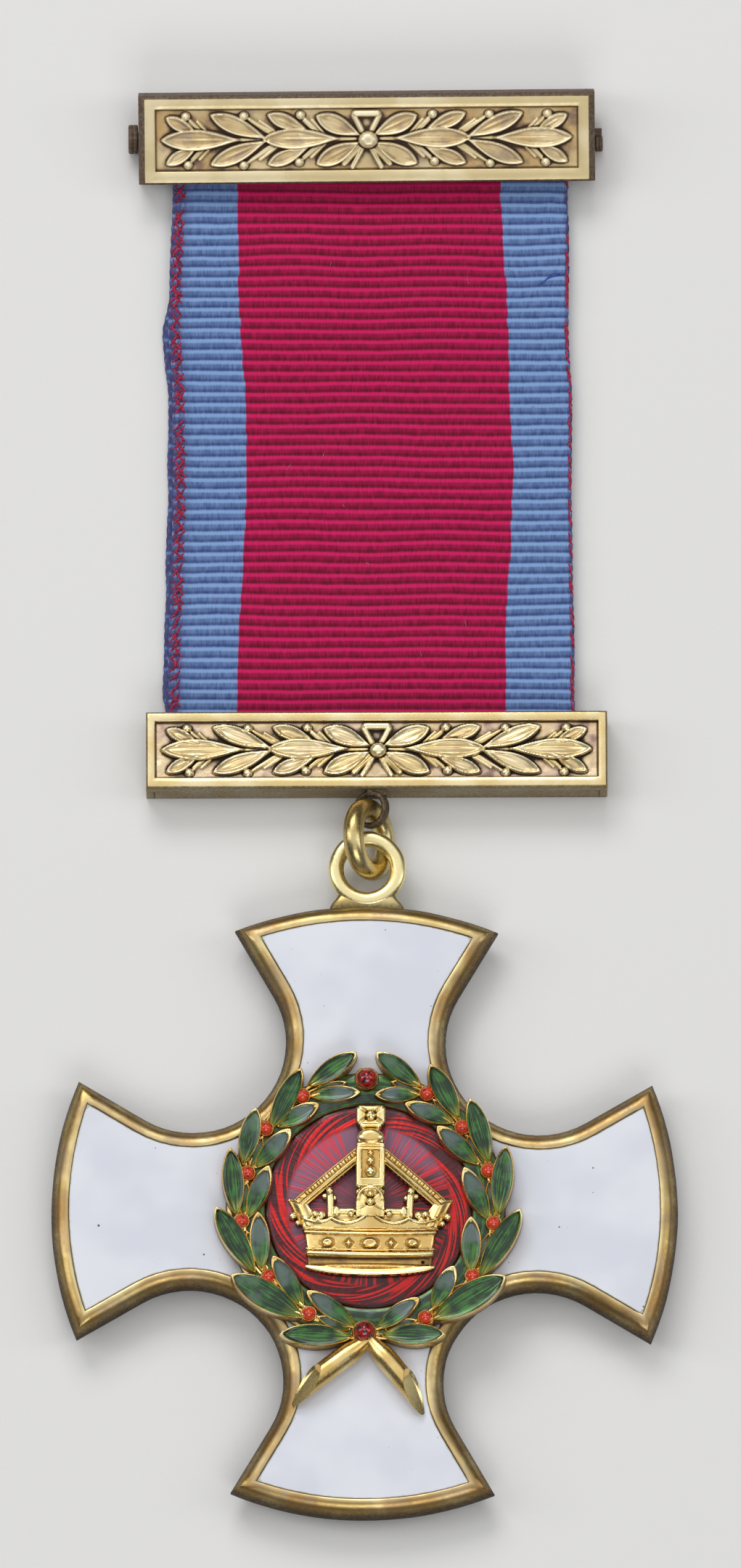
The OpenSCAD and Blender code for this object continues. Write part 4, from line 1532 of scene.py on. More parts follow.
@dataclass
class ArmEnamel:
    """White enamel of one arm, domed from its edges, front or back."""

    cross: Cross
    face: str
    quarter: int
    low_z: float
    edge_z: float
    dome: float
    inset: float = 1.22
    hub_gap: float = 0.04

    def boundary(self) -> tuple[Array, Array, Array, Array]:
        """Four sides of the field.

        Returns:
            Hub arc and end arc, upwards, and lower side and upper side, outwards.
        """
        line = self.cross.outline
        side, tip = line.side(self.inset)
        hub = self.cross.hub_r + self.hub_gap
        wall = line.pocket_r + self.inset
        apart = line.pocket_at * sqrt(2)
        back = (hub**2 - wall**2 + apart**2) / (2 * apart)
        off = sqrt(hub**2 - back**2)
        start = np.array([back + off, back - off]) / sqrt(2)
        start_angle = atan2(start[1] - line.pocket_at, start[0] - line.pocket_at)
        upper = np.concatenate([line.pocket(self.inset, start_angle, 14), side[13:]])
        reach = np.concatenate([[0], np.cumsum(np.hypot(*np.diff(upper, axis=0).T))])
        at = np.linspace(0, reach[-1], 52)
        upper = np.column_stack([np.interp(at, reach, values) for values in upper.T])
        top = atan2(start[1], start[0])
        inner = rays(np.linspace(-top, top, 41)) * hub
        return inner, line.end(self.inset, tip, 41), upper * np.array([1, -1]), upper

    def build(self, glaze: Material) -> None:
        """Makes the enamel."""
        inner, outer, lower, upper = self.boundary()
        v = np.linspace(0, 1, len(inner))[:, None, None]
        u = np.linspace(0, 1, len(lower))[None, :, None]
        grid = (
            (1 - u) * inner[:, None] + u * outer[:, None] + (1 - v) * lower[None] + v * upper[None]
            - (1 - u) * (1 - v) * inner[0] - u * (1 - v) * outer[0]
            - (1 - u) * v * inner[-1] - u * v * outer[-1]
        )
        loop = np.concatenate([lower[:-1], outer[:-1], upper[:0:-1], inner[:0:-1]])
        x, y = grid[..., 0], grid[..., 1]
        edge = np.full(x.shape, 99.0)
        for a, b in zip(loop, np.roll(loop, -1, 0)):
            edge = np.minimum(edge, -stick(x, y, a, b, 0))
        swell = 1 - np.exp(-edge / 1.1)
        waves = copysign(0.012, self.dome) * swell * grain(x, y, 3.0, self.quarter + 50)
        z = self.edge_z + self.dome * swell + waves
        ids = np.arange(x.size).reshape(x.shape)
        border = [*ids[0, :-1], *ids[:-1, -1], *ids[-1, :0:-1], *ids[:0:-1, 0]]
        base = np.column_stack([x.flat[border], y.flat[border], np.full(len(border), self.low_z)])
        below = [*range(x.size, x.size + len(border))]
        faces = grid_faces(*x.shape, False, False)
        for a, b, low, after in zip(border, border[1:] + border[:1], below, below[1:] + below[:1]):
            faces.append([b, a, low, after])
        faces.append(below[::-1])
        turn = self.cross.place.within(0, 0, 0, turned("z", 90 * self.quarter))
        points = np.concatenate([np.dstack([x, y, z]).reshape(-1, 3), base])
        shape = Shape()
        shape.add(turn.at(points), faces, {"edge": np.append(edge, np.zeros(len(border)))})
        place = f"{self.face}_" + ("right", "top", "left", "bottom")[self.quarter]
        shape.make(f"white_enamel_{place}", place.replace("_", "_enamel_"), Slot.WHITE, glaze)


@dataclass
class RedDisc:
    """Domed disc of clear red enamel in the medallion, or the plain one in the back boss."""

    place: Place
    radius: float = 7.0
    low_z: float = 3.44
    edge_z: float = 3.95
    top_z: float = 4.3
    back_radius: float = 7.46
    back_low_z: float = 0.12
    back_high_z: float = 0.46

    def build(self, glaze: Material) -> None:
        """Makes the front disc."""
        shape, rise = Shape(), self.top_z - self.edge_z
        dome = (self.radius**2 + rise**2) / (2 * rise)
        radii = np.linspace(self.radius - 0.04, 0, 40)
        shape.lathe([
            (0, self.low_z), (self.radius, self.low_z), (self.radius, self.edge_z - 0.03),
            *zip(radii, self.top_z - dome + np.sqrt(dome**2 - radii**2)),
        ], self.place, 180)
        shape.make("red_enamel_disc", "red_disc", Slot.RED, glaze)

    def build_back(self, glaze: Material) -> None:
        """Makes the back disc, its face downwards."""
        shape, radius, low, high = Shape(), self.back_radius, self.back_low_z, self.back_high_z
        radii = np.linspace(0, radius - 0.05, 30)
        heights = low + 0.06 * (radii / radius) ** 2
        rim = (radius, low + 0.14), (radius, high), (0, high)
        shape.lathe([*zip(radii, heights), *rim], self.place, 120)
        shape.make("back_enamel_disc", "back_disc", Slot.RED, glaze)


# Leaves of both branches of the wreath, from the foot up: base, tip and width
OUTER_LEAVES = {
    Side.LEFT: (
        (-0.97, -9.15, -5.97, -9.02, 1.56), (-4.35, -7.85, -9.29, -4.95, 1.94),
        (-7.65, -4.75, -10.4, -0.24, 1.6), (-8.95, -0.85, -9.42, 3.84, 1.5),
        (-8.57, 2.7, -7.66, 6.65, 1.42), (-6.75, 5.15, -4.61, 9.42, 1.46),
        (-4.25, 8.2, -0.88, 10.54, 1.42),
    ),
    Side.RIGHT: (
        (0.88, -9.0, 5.25, -8.95, 1.5), (4.35, -7.95, 9.33, -4.9, 2.0), (7.5, -5.0, 10.34, -0.24, 1.62),
        (8.75, -0.7, 9.3, 4.14, 1.54), (8.15, 2.95, 6.8, 7.4, 1.52), (6.1, 5.95, 4.06, 9.75, 1.5),
        (3.55, 8.2, 0.42, 10.55, 1.42),
    ),
}
INNER_LEAVES = {
    Side.LEFT: (
        (-0.75, -8.4, -4.18, -6.02, 1.3), (-4.35, -7.1, -6.5, -3.6, 1.36),
        (-7.2, -4.6, -7.5, -0.55, 1.4), (-8.2, -1.0, -6.76, 2.66, 1.36), (-7.75, 2.5, -5.3, 5.2, 1.36),
        (-6.25, 5.4, -3.4, 6.95, 1.28), (-4.1, 7.55, -0.6, 7.78, 1.14),
    ),
    Side.RIGHT: (
        (0.5, -8.6, 3.5, -6.45, 1.22), (4.35, -7.2, 5.85, -4.2, 1.36), (6.95, -4.7, 6.95, -0.78, 1.42),
        (8.15, -1.0, 6.42, 2.64, 1.38), (7.45, 2.85, 4.58, 5.46, 1.36), (5.8, 5.75, 2.38, 7.02, 1.26),
        (3.45, 7.7, 0.34, 7.6, 1.12),
    ),
}
SMALL_BERRIES = {
    Side.LEFT: (
        (-4.01, -7.54), (-6.76, -4.99), (-8.6, -1.16), (-8.23, 2.17), (-7.01, 5.28), (-4.55, 7.54),
    ),
    Side.RIGHT: ((3.89, -7.77), (7.06, -4.86), (8.47, -1.2), (8.09, 2.45), (6.3, 5.45), (3.9, 7.79)),
}


@dataclass
class WreathLeaf:
    """One leaf of the wreath: a gilt cell with a thin rim, filled with green enamel."""

    leaf: Leaf
    floor: float
    base_z: float
    tip_z: float
    cloud: float
    heavy: float = 0.1
    rim: float = 0.11

    # Section of the rim: distance in from the outline, and height over the rim's top
    section: tuple[Spot, ...] = (
        (-0.02, -0.42), (0.0, -0.1), (0.02, -0.035), (0.055, 0.0), (0.085, -0.02), (0.105, -0.08),
        (0.115, -0.3),
    )

    def top(self, share: Array) -> Array:
        """Height of the rim's top along the leaf."""
        return self.base_z + (self.tip_z - self.base_z) * share + 0.1 * np.sin(pi * share)

    def add_gold(self, shape: Shape, place: Place) -> None:
        """Adds the gilt cell."""
        half = 26
        t = (1 - np.cos(np.linspace(0, pi, half))) / 2
        share = np.concatenate([t, t[-2:0:-1]])
        side = np.where(np.arange(len(share)) < half, 1, -1)
        rings, marks = [], []
        for inset, drop in ((-0.03, None), *self.section):
            heavy = self.heavy if inset > 0.1 else self.heavy * 0.3 if inset > 0.07 else 0
            z = 0 * share + self.floor if drop is None else self.top(share) + drop
            rings.append(np.column_stack([self.leaf.lens(share, side, inset, heavy), z]))
            # Painted shade at the foot and sides of the cell, paler on its rim's top
            marks.append(0.5 if drop is None else 0.28 if drop < -0.2 else -0.2)
        shape.loft(place.at(rings), marks={"hollow": np.repeat(marks, len(share))})

    def add_enamel(self, shape: Shape, place: Place) -> None:
        """Adds the enamel in the cell, dished along its middle, with cut veins."""
        side, rings = np.linspace(-1, 1, 13), []
        shares = (1 - np.cos(np.linspace(0.12, pi - 0.1, 34))) / 2
        for share in shares:
            t = np.full(len(side), share)
            flat = self.leaf.lens(t, side, self.rim - 0.012, self.heavy)
            top = self.top(t) - 0.06 - 0.11 * (1 - side**2) + 0.012 * np.cos(side * 14)
            under = np.column_stack([flat[[-1, 0]], self.top(t[:2]) - 0.34])
            rings.append(np.concatenate([np.column_stack([flat, top]), under]))
        across = np.append(side, (1, -1)) * self.leaf.width / 2
        marks = {"along": np.repeat(shares, len(across)), "across": np.tile(across, len(shares))}
        shape.loft(place.at(rings), marks={**marks, "cloud": self.cloud})


@dataclass
class Wreath:
    """Laurel wreath: gilt leaf cells on a ring, their green enamel, berries and two stems."""

    place: Place
    ring_in: float = 7.04
    ring_out: float = 9.3
    floor: float = 3.45
    ring_z: float = 3.95
    leaf_z: float = 4.85
    berry_r: float = 0.41
    berry_z: float = 4.52
    end_berry_r: float = 0.66
    end_berries: tuple[Spot, Spot] = ((-0.24, -8.78), (-0.2, 8.75))
    stem_r: float = 0.76
    cut_length: float = 3.0
    outer_powers: Spot = (0.86, 0.74)
    inner_powers: Spot = (0.8, 0.7)

    def leaves(self) -> list[WreathLeaf]:
        """Every leaf: outer, inner and the small ones between them."""
        found = []
        for side in Side:
            stops = [*SMALL_BERRIES[side], (side.value * 0.95, 8.75)]
            starts = [(side.value * 0.75, -8.75), *SMALL_BERRIES[side]]
            for n, (a, b) in enumerate(zip(np.array(starts), np.array(stops))):
                row, inner_row = OUTER_LEAVES[side][n], INNER_LEAVES[side][n]
                outer = Leaf(row[:2], row[2:4], row[4], *self.outer_powers)
                inner = Leaf(inner_row[:2], inner_row[2:4], inner_row[4], *self.inner_powers)
                small = Leaf(a + 0.12 * (b - a), a + 0.84 * (b - a), 0.8, 0.7, 0.8)
                cloud = 0.3 + 0.3 * sin(2.1 * n + side.value)
                found += [
                    WreathLeaf(outer, self.floor, 4.56, self.leaf_z, cloud),
                    WreathLeaf(inner, self.floor, 4.5, self.leaf_z - 0.03, 1.0, 0.24),
                    WreathLeaf(small, self.floor, 4.32, 4.5, 0.9),
                ]
        return found

    def add_stalks(self, shape: Shape) -> None:
        """Adds short gilt stalks that spread from each berry up its branch."""
        t = np.linspace(-0.5, 1, 7)
        for side in Side:
            for n, (x, y) in enumerate([(0.0, -8.9), *SMALL_BERRIES[side]]):
                radius, start = hypot(x, y), atan2(y, x)
                for lane, reach, thick in ((-0.42, 1.5, 0.11), (0.05, 1.1, 0.09), (0.46, 1.6, 0.12)):
                    away = radius + lane * (0.5 + 0.5 * t)
                    flat = away[:, None] * rays(start + side.value * reach * t / radius)
                    path = np.column_stack([flat, 4.3 + 0.12 * np.sin(3 * t + n)])
                    shape.tube(self.place.at(path), thick * (1.15 - 0.6 * t.clip(0)), 8)

    def add_stem(self, shape: Shape, start: Spot, end: Spot, outward: int) -> None:
        """Adds one crossed stem, its end cut slanting like a quill.

        Args:
            shape: The wreath.
            start: Its upper end.
            end: Its lower end.
            outward: 1 where the cut faces left of the way down, else -1.
        """
        length, ahead, left = heading(start, end)
        out, roll = left * outward, turned("z", 50)[:2, :2]
        rings, marks = [], []
        cut_at = length - self.cut_length
        for step in [*np.linspace(0, cut_at, 16)[:-1],
                     *(length - self.cut_length * (1 - np.linspace(0, 1, 48) ** 1.3))]:
            radius = self.stem_r * (0.62 + 0.38 * float(smooth(step / 1.9)))
            cut = max(0.0, (step - cut_at) / self.cut_length)
            limit = radius * (1 - 1.985 * (1 - (1 - cut) ** 1.3))
            half = sqrt(max(radius**2 - limit**2, 1e-6))
            # The round part of the ring, then the cut's chord
            edge = max(acos(limit / radius), 0.3)
            bark = radius * rays(np.linspace(edge, 2 * pi - edge, 31))
            t = radius * sin(edge) * np.linspace(-1, 1, 17)[1:-1]
            rim = smooth((1 - np.abs(t) / half) / 0.3) * (cut > 0)
            bowl = 0.22 * min(cut / 0.1, 1) * (1 - cut)
            chord = np.minimum(np.sqrt(radius**2 - t**2), limit - bowl * rim)
            sideways, up = roll @ np.concatenate([bark, np.column_stack([chord, t])]).T
            flat = start + ahead * step + out * sideways[:, None]
            z = np.maximum(self.floor + self.stem_r - 0.02 + up, self.floor - 0.03)
            rings.append(np.column_stack([flat, z]))
            # Painted highlight on the stem's upper half and the cut's rim, painted shade where the stem
            # drops into the cut
            shade = rim * (0.6 * max(0.0, 1 - cut / 0.25) - 0.45)
            marks.append(np.concatenate([-0.15 * (up[: len(bark)] > 0), shade]))
        shape.loft(self.place.at(rings), marks={"hollow": marks})

    def build(self, gold: Material, green: Material, small: Material, large: Material) -> None:
        """Makes the wreath, its enamel and its berries.

        Args:
            gold: Gilding.
            green: Enamel of the leaves.
            small: Enamel of the small berries.
            large: Enamel of the two large ones.
        """
        wreath, cells, berries = Shape(), Shape(), Shape()
        low, z, near, far = self.floor, self.ring_z, self.ring_in, self.ring_out
        steps = 120
        # The ring between the leaves takes painted shade
        wreath.lathe([
            (near, low), (near, z - 0.1), (near + 0.05, z), (far - 0.1, z), (far, z - 0.2), (far, low),
        ], self.place, steps, True, {"hollow": 0.5})
        across = np.repeat([0, 0, 0.25, 0.5, 0.75, 1, 1], steps)
        cells.lathe([
            (7.12, z - 0.1), (7.14, z + 0.04), (7.5, z + 0.14), (8.2, z + 0.17), (8.9, z + 0.12),
            (9.16, z + 0.04), (9.2, z - 0.1),
        ], self.place, steps, True, {"across": across, "cloud": 0.6, "along": 0.5})
        for leaf in self.leaves():
            leaf.add_gold(wreath, self.place)
            leaf.add_enamel(cells, self.place)
        self.add_stalks(wreath)
        self.add_stem(wreath, (0.1, -9.2), (-5.36, -13.35), -1)
        self.add_stem(wreath, (0.05, -9.15), (4.17, -13.98), 1)
        ball = rays(np.radians(np.linspace(-90, 70, 14)))
        # The berry's dimple, then its cup: radius and height
        ball = np.concatenate([ball, [(0.26, 0.9), (0.14, 0.8), (0, 0.78)]])
        small_ones = [(spot, self.berry_r, 0) for side in Side for spot in SMALL_BERRIES[side]]
        for at, r, end in small_ones + [(spot, self.end_berry_r, 1) for spot in self.end_berries]:
            up = self.berry_z + 0.1 * end
            berries.finish = end
            berries.lathe(ball * r, self.place.within(*at, up), 28)
            wreath.lathe([
                (0, low), (r + 0.2, low), (r + 0.17, up - 0.1), (r + 0.1, up + 0.02),
                (r + 0.03, up), (r - 0.02, up - 0.1), (0, up - 0.12),
            ], self.place.within(*at, 0), 36)
        wreath.make("wreath_gilt", "wreath", Slot.MEDALLION, gold, sharp_deg=65)
        cells.make("leaf_green_enamel", "leaf_enamel", Slot.GREEN, green)
        berries.make("wreath_berry_beads", "wreath_berries", Slot.BERRY, small, large)


@dataclass
class Crown:
    """Gilt crown in relief, pierced between its arches."""

    place: Place
    thick: float = 1.25
    dome_r: float = 17
    arch_top: Spot = (0.8, 3.35)
    arch_foot: Spot = (4.75, 0.1)
    jewel_y: float = -2.64
    bow: float = 0.22
    head_y: float = 6.0

    def dome(self, x: Array | float) -> Array:
        """Height of the crown's round front above its back."""
        return self.thick - self.dome_r + np.sqrt(self.dome_r**2 - x * x)

    def carve(self, x: Array, y: Array) -> tuple[Array, Array, Marks]:
        """Front of the crown.

        Args:
            x: Places across.
            y: Places up.

        Returns:
            Distance in from its edge, height, and where it takes painted shade.
        """
        z = self.dome(x)
        c = Carving(x, y, 0.1)
        # Neck in the shade below the band, and the bright lip of the crown's mouth
        neck = block(x, y, (0, -3.9), (4.24 - 0.1 * smooth(-y - 3.8), 0.52))
        c.cushion(neck, z - 0.42 + 0.1 * (y + 3.9), 0.1, 0, 0.1)
        lip = np.minimum(oval(x, y, (0, -4.28), (4.42, 0.68), 0.68), -4.2 - y)
        c.cushion(lip, 0.5 + 0.3 * (-4.2 - y), 0.14, 0, 0.1)
        c.sink(stick(x, y, (-4.0, -4.2), (4.0, -4.2), 0.02), 0.14, 0.1)
        for side in Side:
            self.add_arch(c, z, side.value)
            self.add_fringe(c, z, side.value)
        self.add_band(c, z)
        self.add_column(c)
        # Painted shade on the neck below the band
        shade = smooth((-3.64 - y) / 0.1) * smooth((y + 4.24) / 0.1)
        return c.inside, c.height + 0.004 * grain(x, y, 0.3, 33), {"soil": shade}

    def add_arch(self, c: Carving, z: Array, s: int) -> None:
        """Raises the sloping arch of one side and its flared foot with two pearls."""
        (ax, ay), (bx, by) = self.arch_top, self.arch_foot
        size = hypot(bx - ax, by - ay)
        x = s * c.x
        u = ((x - ax) * (bx - ax) + (c.y - ay) * (by - ay)) / size
        v = ((x - ax) * (ay - by) + (c.y - ay) * (bx - ax)) / size
        across = np.minimum(0.42 - np.abs(v), np.minimum(u + 0.2, size + 0.25 - u))
        c.cushion(across, z - 0.3, 0.1, 0, 0.08)
        inside = polygon(x, c.y, [
            (4.05, -1.75), (4.75, -1.5), (5.65, 0.4), (4.95, 0.34), (4.5, 0.42), (3.85, -0.6),
            (3.7, -1.75),
        ])
        ridge = stick(x, c.y, (4.1, -1.6), (4.95, 0.3), 0.5)
        c.cushion(inside, z - 0.12 + 0.2 * smooth(ridge / 0.5), 0.12)
        facet = polygon(x, c.y, [(4.6, -0.1), (5.5, 0.32), (4.95, 0.3), (4.55, 0.36)])
        c.sink(facet, 0.12, 0.12)
        for px, py, r, cut, drop in ((5.25, -0.85, 0.27, 0.26, 0.05), (4.9, -1.35, 0.2, 0.18, 0.02)):
            c.bead((s * px, py), r, self.dome(px) - drop, cut)

    def add_fringe(self, c: Carving, z: Array, s: int) -> None:
        """Raises what stands on the band at one side: upright, curl and balls."""
        # Ends of a stick, its radius, its height over the front and its rounding
        for a, b, radius, lift, edge in (
            ((2.66, -1.0), (2.72, 0.5), 0.26, -0.02, 0.22),
            ((2.45, 0.35), (3.1, 0.5), 0.2, -0.22, 0.15),
            ((1.2, -0.62), (2.25, -0.62), 0.23, -0.02, 0.2),
            ((2.3, -0.5), (2.3, -0.75), 0.26, 0.06, 0.22),
            ((1.1, -1.05), (2.3, -0.98), 0.24, -0.16, 0.15),
        ):
            c.cushion(stick(s * c.x, c.y, a, b, radius), z + lift, edge)
        c.bead((s * 2.74, 0.78), 0.27, 0.95, 0.26)
        c.bead((s * 1.3, -0.82), 0.2, self.dome(1.3) - 0.02)
        for x, y, r in ((3.3, -0.85, 0.3), (3.75, -0.75, 0.25), (3.5, -1.2, 0.28), (3.95, -1.1, 0.2)):
            c.lift(disc(c.x, c.y, (s * x, y), r), 0.3, 0, 0.06)
            c.bead((s * x, y), r, self.dome(x) - 0.1)

    def add_band(self, c: Carving, z: Array) -> None:
        """Raises the jewelled band with its mouldings and scalloped upper edge."""
        x, y = c.x, c.y
        wide = np.abs(x)
        band = polygon(x, y, [
            (-4.55, -1.35), (0, -1.0), (4.55, -1.35), (4.2, -3.6), (2.2, -3.76), (0, -3.82),
            (-2.2, -3.76), (-4.2, -3.6),
        ])
        c.cushion(band, z - 0.12, 0.16, 0.1, 0.08)
        # Scalloped edge: a middle point, a dip and a side peak at each side
        peak = np.interp(
            wide, [0, 0.16, 0.4, 0.8, 1.25, 1.7, 2.1, 2.42, 2.66, 2.9, 3.3, 3.8, 4.3, 4.6],
            [-0.46, -0.66, -0.92, -1.16, -1.3, -1.34, -1.26, -1.12, -0.96, -1.12, -1.22, -1.2,
             -1.04, -0.86],
        )
        scallop = np.minimum(np.minimum(peak - y, y + 1.85), 4.6 - wide)
        c.cushion(scallop, z - 0.02, 0.12)
        rope = np.minimum(0.13 - np.abs(peak - y - 0.13), 4.6 - wide)
        c.cushion(rope, z + 0.14, 0.13, 0.1, 0.05)
        c.inside = np.where(band > 0, np.maximum(c.inside, 0.1), c.inside)
        # Mouldings, bowed with the band: place up, half width, height over the front
        v = y + self.bow * (1 - (x / 4.5) ** 2)
        for at, half, lift in (
            (-1.72, 0.07, 0.05), (-1.98, 0.10, 0.13), (-3.12, 0.07, 0.08), (-3.42, 0.17, 0.17),
        ):
            line = np.minimum(half - np.abs(v - at), np.minimum(4.5 - wide, band + 0.1))
            c.cushion(line, z + lift, half, 0.1, 0.05)
        for jx, half in ((-2.9, (0.36, 0.24)), (2.9, (0.36, 0.24)), (0, (0.5, 0.3))):
            jewel = oval(x, y, (jx, self.jewel(jx)), half, half[1])
            c.cushion(jewel, z + 0.10, 0.14, 0.1, 0.06)
            c.sink(0.05 - np.abs(jewel + 0.07), 0.08, 0.06)
            c.sink(jewel - 0.12, 0.06, 0.1)
        for jx in (-1.45, 1.45):
            lozenge = 0.7 * (0.26 - np.abs(x - jx) - np.abs(y - self.jewel(jx)))
            c.cushion(lozenge, z + 0.05, 0.14, 0.1, 0.06)
            c.sink(0.045 - np.abs(lozenge + 0.07), 0.07, 0.06)
        c.sink(disc(x, y, (3.6, -4.0), 0.09), 0.3, 0.06)

    def jewel(self, x: float) -> float:
        """Height up the band of a jewel at x."""
        return self.jewel_y - self.bow * (1 - (x / 4.5) ** 2)

    def add_column(self, c: Carving) -> None:
        """Raises the middle: pearled plate, orb and the block-shaped cross on top."""
        x, y, top = c.x, c.y, self.thick
        # Domed shield below the plate, and the column's lower end behind it
        lower = np.maximum(block(x, y, (0, -0.1), (0.98, 0.95)), disc(x, y, (0, 0.45), 0.98))
        shade = 0.16 * smooth(np.abs(x) / 0.9)
        c.cushion(np.minimum(lower, 1.22 - y), top + 0.16 - shade, 0.14)
        for s in (-1, 1):
            for low, high in ((0.3, 0.95), (-0.1, -0.45)):
                c.sink(stick(x, y, (s * 0.15, low), (s * 0.85, high), 0.07), 0.12, 0.14)
        arch = np.minimum(0.1 - np.abs(disc(x, y, (0, 0.14), 0.84)), y - 0.1)
        c.cushion(arch, top + 0.24, 0.1, 0.1, 0.05)
        for py, r in ((0.52, 0.2), (0, 0.25)):
            c.sink(disc(x, y, (0, py), r + 0.09), 0.12, 0.1)
            c.bead((0, py), r, top + 0.08)
        c.cushion(block(x, y, (0, 2.42), (0.98, 1.38)), top + 0.24, 0.16)
        c.sink(block(x, y, (0, 2.6), (0.6, 0.96)), 0.16, 0.12)
        for py, r in ((3.36, 0.22), (2.82, 0.29), (2.1, 0.37)):
            c.bead((0, py), r, top + 0.08)
        # Orb with its mouldings: place up, half height, half width, height over the plate
        orb = oval(x, y, (0, 4.52), (0.92, 0.62), 0.6)
        c.lift(orb, top + 0.28 - rounded(orb, 0.45) * 0.9, 0.1, 0.07)
        for at, half, wide, lift in (
            (3.96, 0.13, 0.95, 0.14), (4.2, 0.08, 0.86, 0.06), (5.06, 0.12, 0.62, -0.05),
            (5.28, 0.1, 0.72, 0.1),
        ):
            c.cushion(block(x, y, (0, at), (wide, half)), top + lift, half * 0.9, 0.1, 0.06)
        mid, stud = self.head_y, (0, self.head_y - 0.05)
        head = np.minimum(block(x, y, (0, mid), (1.0, 0.68)), 1.5 - np.abs(x) - np.abs(y - mid))
        c.cushion(head, top + 0.2, 0.24)
        for s, t in ((-1, -1), (-1, 1), (1, -1), (1, 1)):
            notch = stick(x, y, (s * 0.3, mid + t * 0.2), (s * 1.05, mid + t * 0.75), 0.08)
            c.sink(notch, 0.17, 0.16)
        c.sink(disc(x, y, stud, 0.42), 0.14, 0.12)
        c.bead(stud, 0.31, top + 0.08)
        c.sink(0.03 - np.abs(disc(x, y, stud, 0.16)), 0.05, 0.06)

    def add_rods(self, shape: Shape) -> None:
        """Adds the round rails and the pearls of the arches."""
        pearl = 0.18 * rays(np.radians(np.linspace(-90, 90, 9)))
        for s in (-1, 1):
            a, b = ((s * x, y) for x, y in (self.arch_top, self.arch_foot))
            size, ahead, left = heading(a, b)

            def along(u: Array, v: float, lift: float) -> Array:
                """Places on the arch at distances along it and above its middle."""
                flat = a + u[:, None] * ahead + v * s * left
                return np.column_stack([flat, self.dome(flat[:, 0]) + lift])

            u = np.linspace(-0.1, size + 0.05, 24)
            for v, lift, radius in ((-0.14, -0.14, 0.2), (-0.38, -0.22, 0.07), (0.41, -0.26, 0.05)):
                shape.tube(self.place.at(along(u, v, lift)), radius, 14)
            for spot in along(0.42 + 0.49 * np.arange(9), 0.2, -0.14):
                shape.lathe(pearl, self.place.within(*spot), 16)

    def build(self, gold: Material) -> None:
        """Makes the crown."""
        shape = Shape()
        Relief(self.carve, (-5.9, -5.2), (5.9, 6.9), 0, 0.45, 0.3).add_to(shape, self.place)
        self.add_rods(shape)
        shape.make("crown_gilt_relief", "crown", Slot.MEDALLION, gold, sharp_deg=65)


@dataclass
class Studio:
    """Pale floor, soft lights and the camera."""

    target: Point = (0.4, 1.02, 2.5)
    distance: float = 2075
    elevation: float = 77
    lens: float = 700
    world: float = 0.10
    # Place, what it looks at, size across and along, power in watts
    lamps: tuple[tuple[str, Point, Point, Spot, float], ...] = (
        ("overhead_tent", (0, 110, 620), (0, 0, 0), (900, 760), 1.75),
        ("head_softbox", (-120, 430, 480), (0, 0, 0), (420, 260), 1.5),
        ("foot_softbox", (60, -430, 420), (0, -20, 0), (420, 220), 0.9),
        ("left_softbox", (-470, 40, 400), (0, 0, 0), (220, 420), 0.7),
        ("right_softbox", (470, 0, 380), (0, 0, 0), (200, 380), 0.45),
    )

    def build(self) -> None:
        """Makes the floor, the lamps, the world and the camera."""
        scene = bpy.context.scene
        bm = bmesh.new()
        bmesh.ops.create_grid(bm, x_segments=8, y_segments=8, size=1.2)
        mesh = bpy.data.meshes.new("pale_floor")
        bm.to_mesh(mesh)
        bm.free()
        mesh.materials.append(PaleBoard().material())
        floor = link("pale_floor", mesh)
        for name, spot, aim, size, power_w in self.lamps:
            data = bpy.data.lights.new(name, "AREA")
            data.shape, data.energy = "RECTANGLE", power_w
            data.size, data.size_y = np.array(size) * MM
            lamp = link(name, data)
            lamp.location = Vector(spot) * MM
            lamp.rotation_euler = (Vector(aim) - Vector(spot)).to_track_quat("-Z", "Y").to_euler()
            lamp.visible_camera = False
        world = bpy.data.worlds.new("studio_air")
        world.use_nodes = True
        air = world.node_tree.nodes["Background"]
        air.inputs["Color"].default_value = (0.9, 0.95, 1.0, 1)
        air.inputs["Strength"].default_value = self.world
        scene.world = world
        data = bpy.data.cameras.new("camera")
        data.lens, data.sensor_width, data.sensor_fit = self.lens, 36, "AUTO"
        data.clip_start, data.clip_end = 0.01, 40
        scene.camera = camera = link("camera", data)
        up = radians(self.elevation)
        back = Vector((0, -cos(up), sin(up)))
        camera.location = (Vector(self.target) + back * self.distance) * MM
        camera.rotation_euler = (-back).to_track_quat("-Z", "Y").to_euler()
        scene.view_settings.view_transform = "Standard"


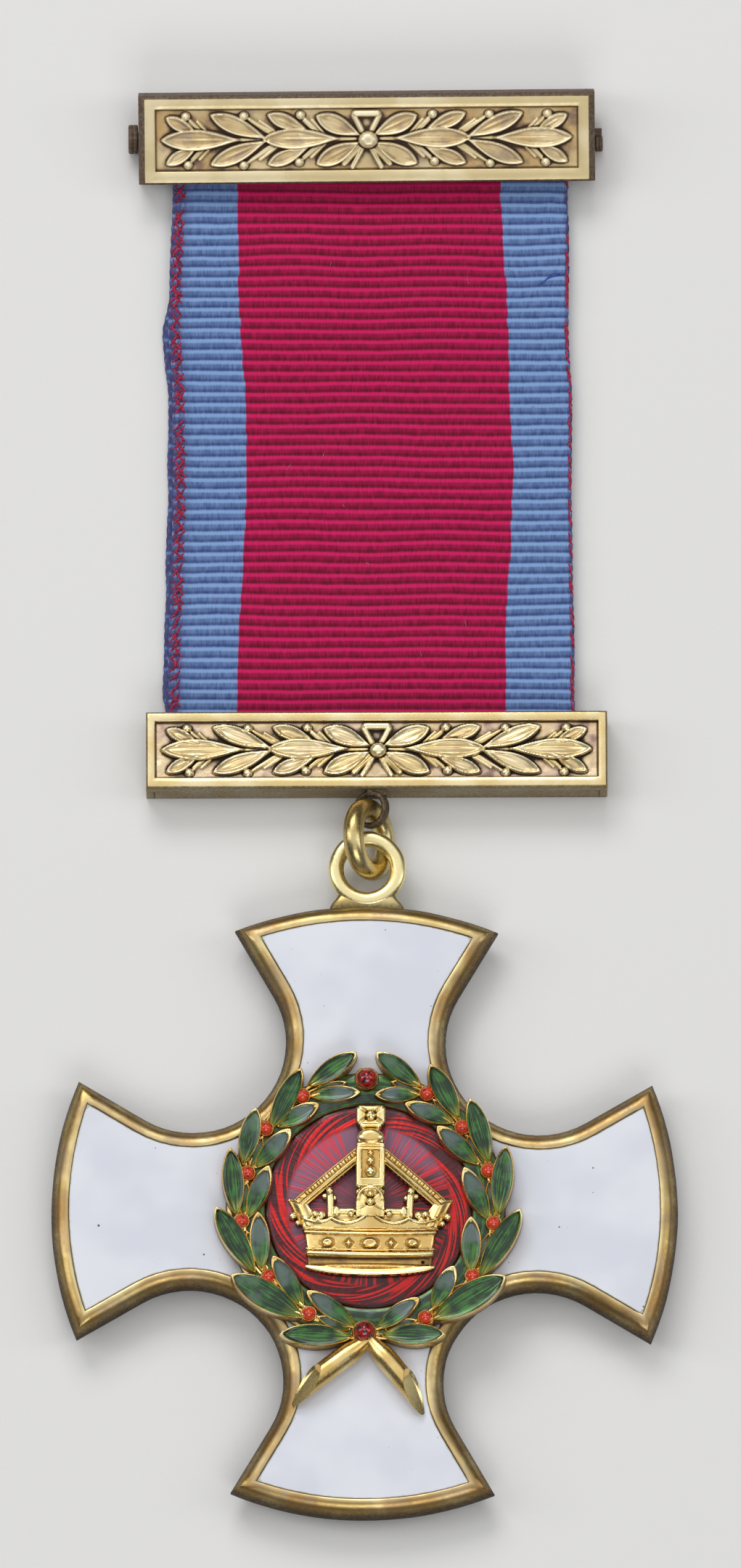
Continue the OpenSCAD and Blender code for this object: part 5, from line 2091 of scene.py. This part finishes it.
def main() -> None:
    """Builds every piece in order, then the studio."""
    logging.basicConfig(level=logging.INFO, format="%(message)s")
    top = BroochBar(
        node="top_bar", slot=Slot.TOP_BAR, gilding=PALE_GILDING,
        place=Place((0.16, 44.0689, 0), turned("z", 0.55) @ turned("x", 18.6)),
        width=31.2, height=6.1, wall_y=5.5, borders=(1.13, 0.95, 0.9), bevels=(0.42, 0.25, 0.14),
        seed=11, flank_shade=0.52, leaf_soil=0.7,
    )
    low = LuggedBar(
        node="lower_bar", slot=Slot.LOWER_BAR, gilding=WARM_GILDING,
        place=Place((0.83, 0.5994, 0), turned("z", 0.2)),
        width=31.4, height=5.35, wall_y=0, borders=(0.6, 0.65, 0.75), bevels=(0.12, 0.12, 0.15),
        seed=23, flank_shade=0.42, leaf_soil=0.3, knob=(0.54, 0.48),
    )
    top.build()
    top.pin()
    low.build()
    Ribbon().build(*(finish.material() for finish in (CordedSilk(), STITCH, STRAY, LINT)))

    at_cross = Place((0, -28.72, 0), turned("z", -0.4))
    at_medal, at_crown = at_cross.within(0.28, 0, 0), at_cross.within(0.38, 0, 4.33)
    rim_gold, rich_gold = RIM_GILDING.material(), RICH_GILDING.material()
    JumpRing().build(rim_gold)
    cross = Cross(at_cross)
    cross.build(rim_gold)
    white = WhiteEnamel((
        (-18.04, -29.9, 0.09), (-10.9, -31.9, 0.07), (15.5, -25.9, 0.06), (13.2, -30.0, 0.06),
        (19.1, -35.7, 0.1), (18.9, -35.5, 0.07), (19.3, -35.95, 0.08),
    )).material()
    for quarter in range(4):
        ArmEnamel(cross, "front", quarter, 2.81, 3.24, 0.12).build(white)
        ArmEnamel(cross, "back", quarter, 1.18, 0.92, -0.06).build(white)
    RedDisc(at_medal).build(RedEnamel(at_medal.offset[:2]).material())
    plain_red = BeadEnamel("plain_red_enamel", (140, 12, 24), (96, 6, 16), 0.55)
    RedDisc(at_cross).build_back(plain_red.material())
    small = BeadEnamel("orange_berry_enamel", (214, 58, 26), (150, 24, 14), 0.56)
    large = BeadEnamel("dark_berry_enamel", (168, 16, 18), (58, 8, 20), 0.48)
    Wreath(at_medal).build(rich_gold, LeafEnamel().material(), small.material(), large.material())
    Crown(at_crown).build(rich_gold)
    Studio().build()


if __name__ == "__main__":
    main()
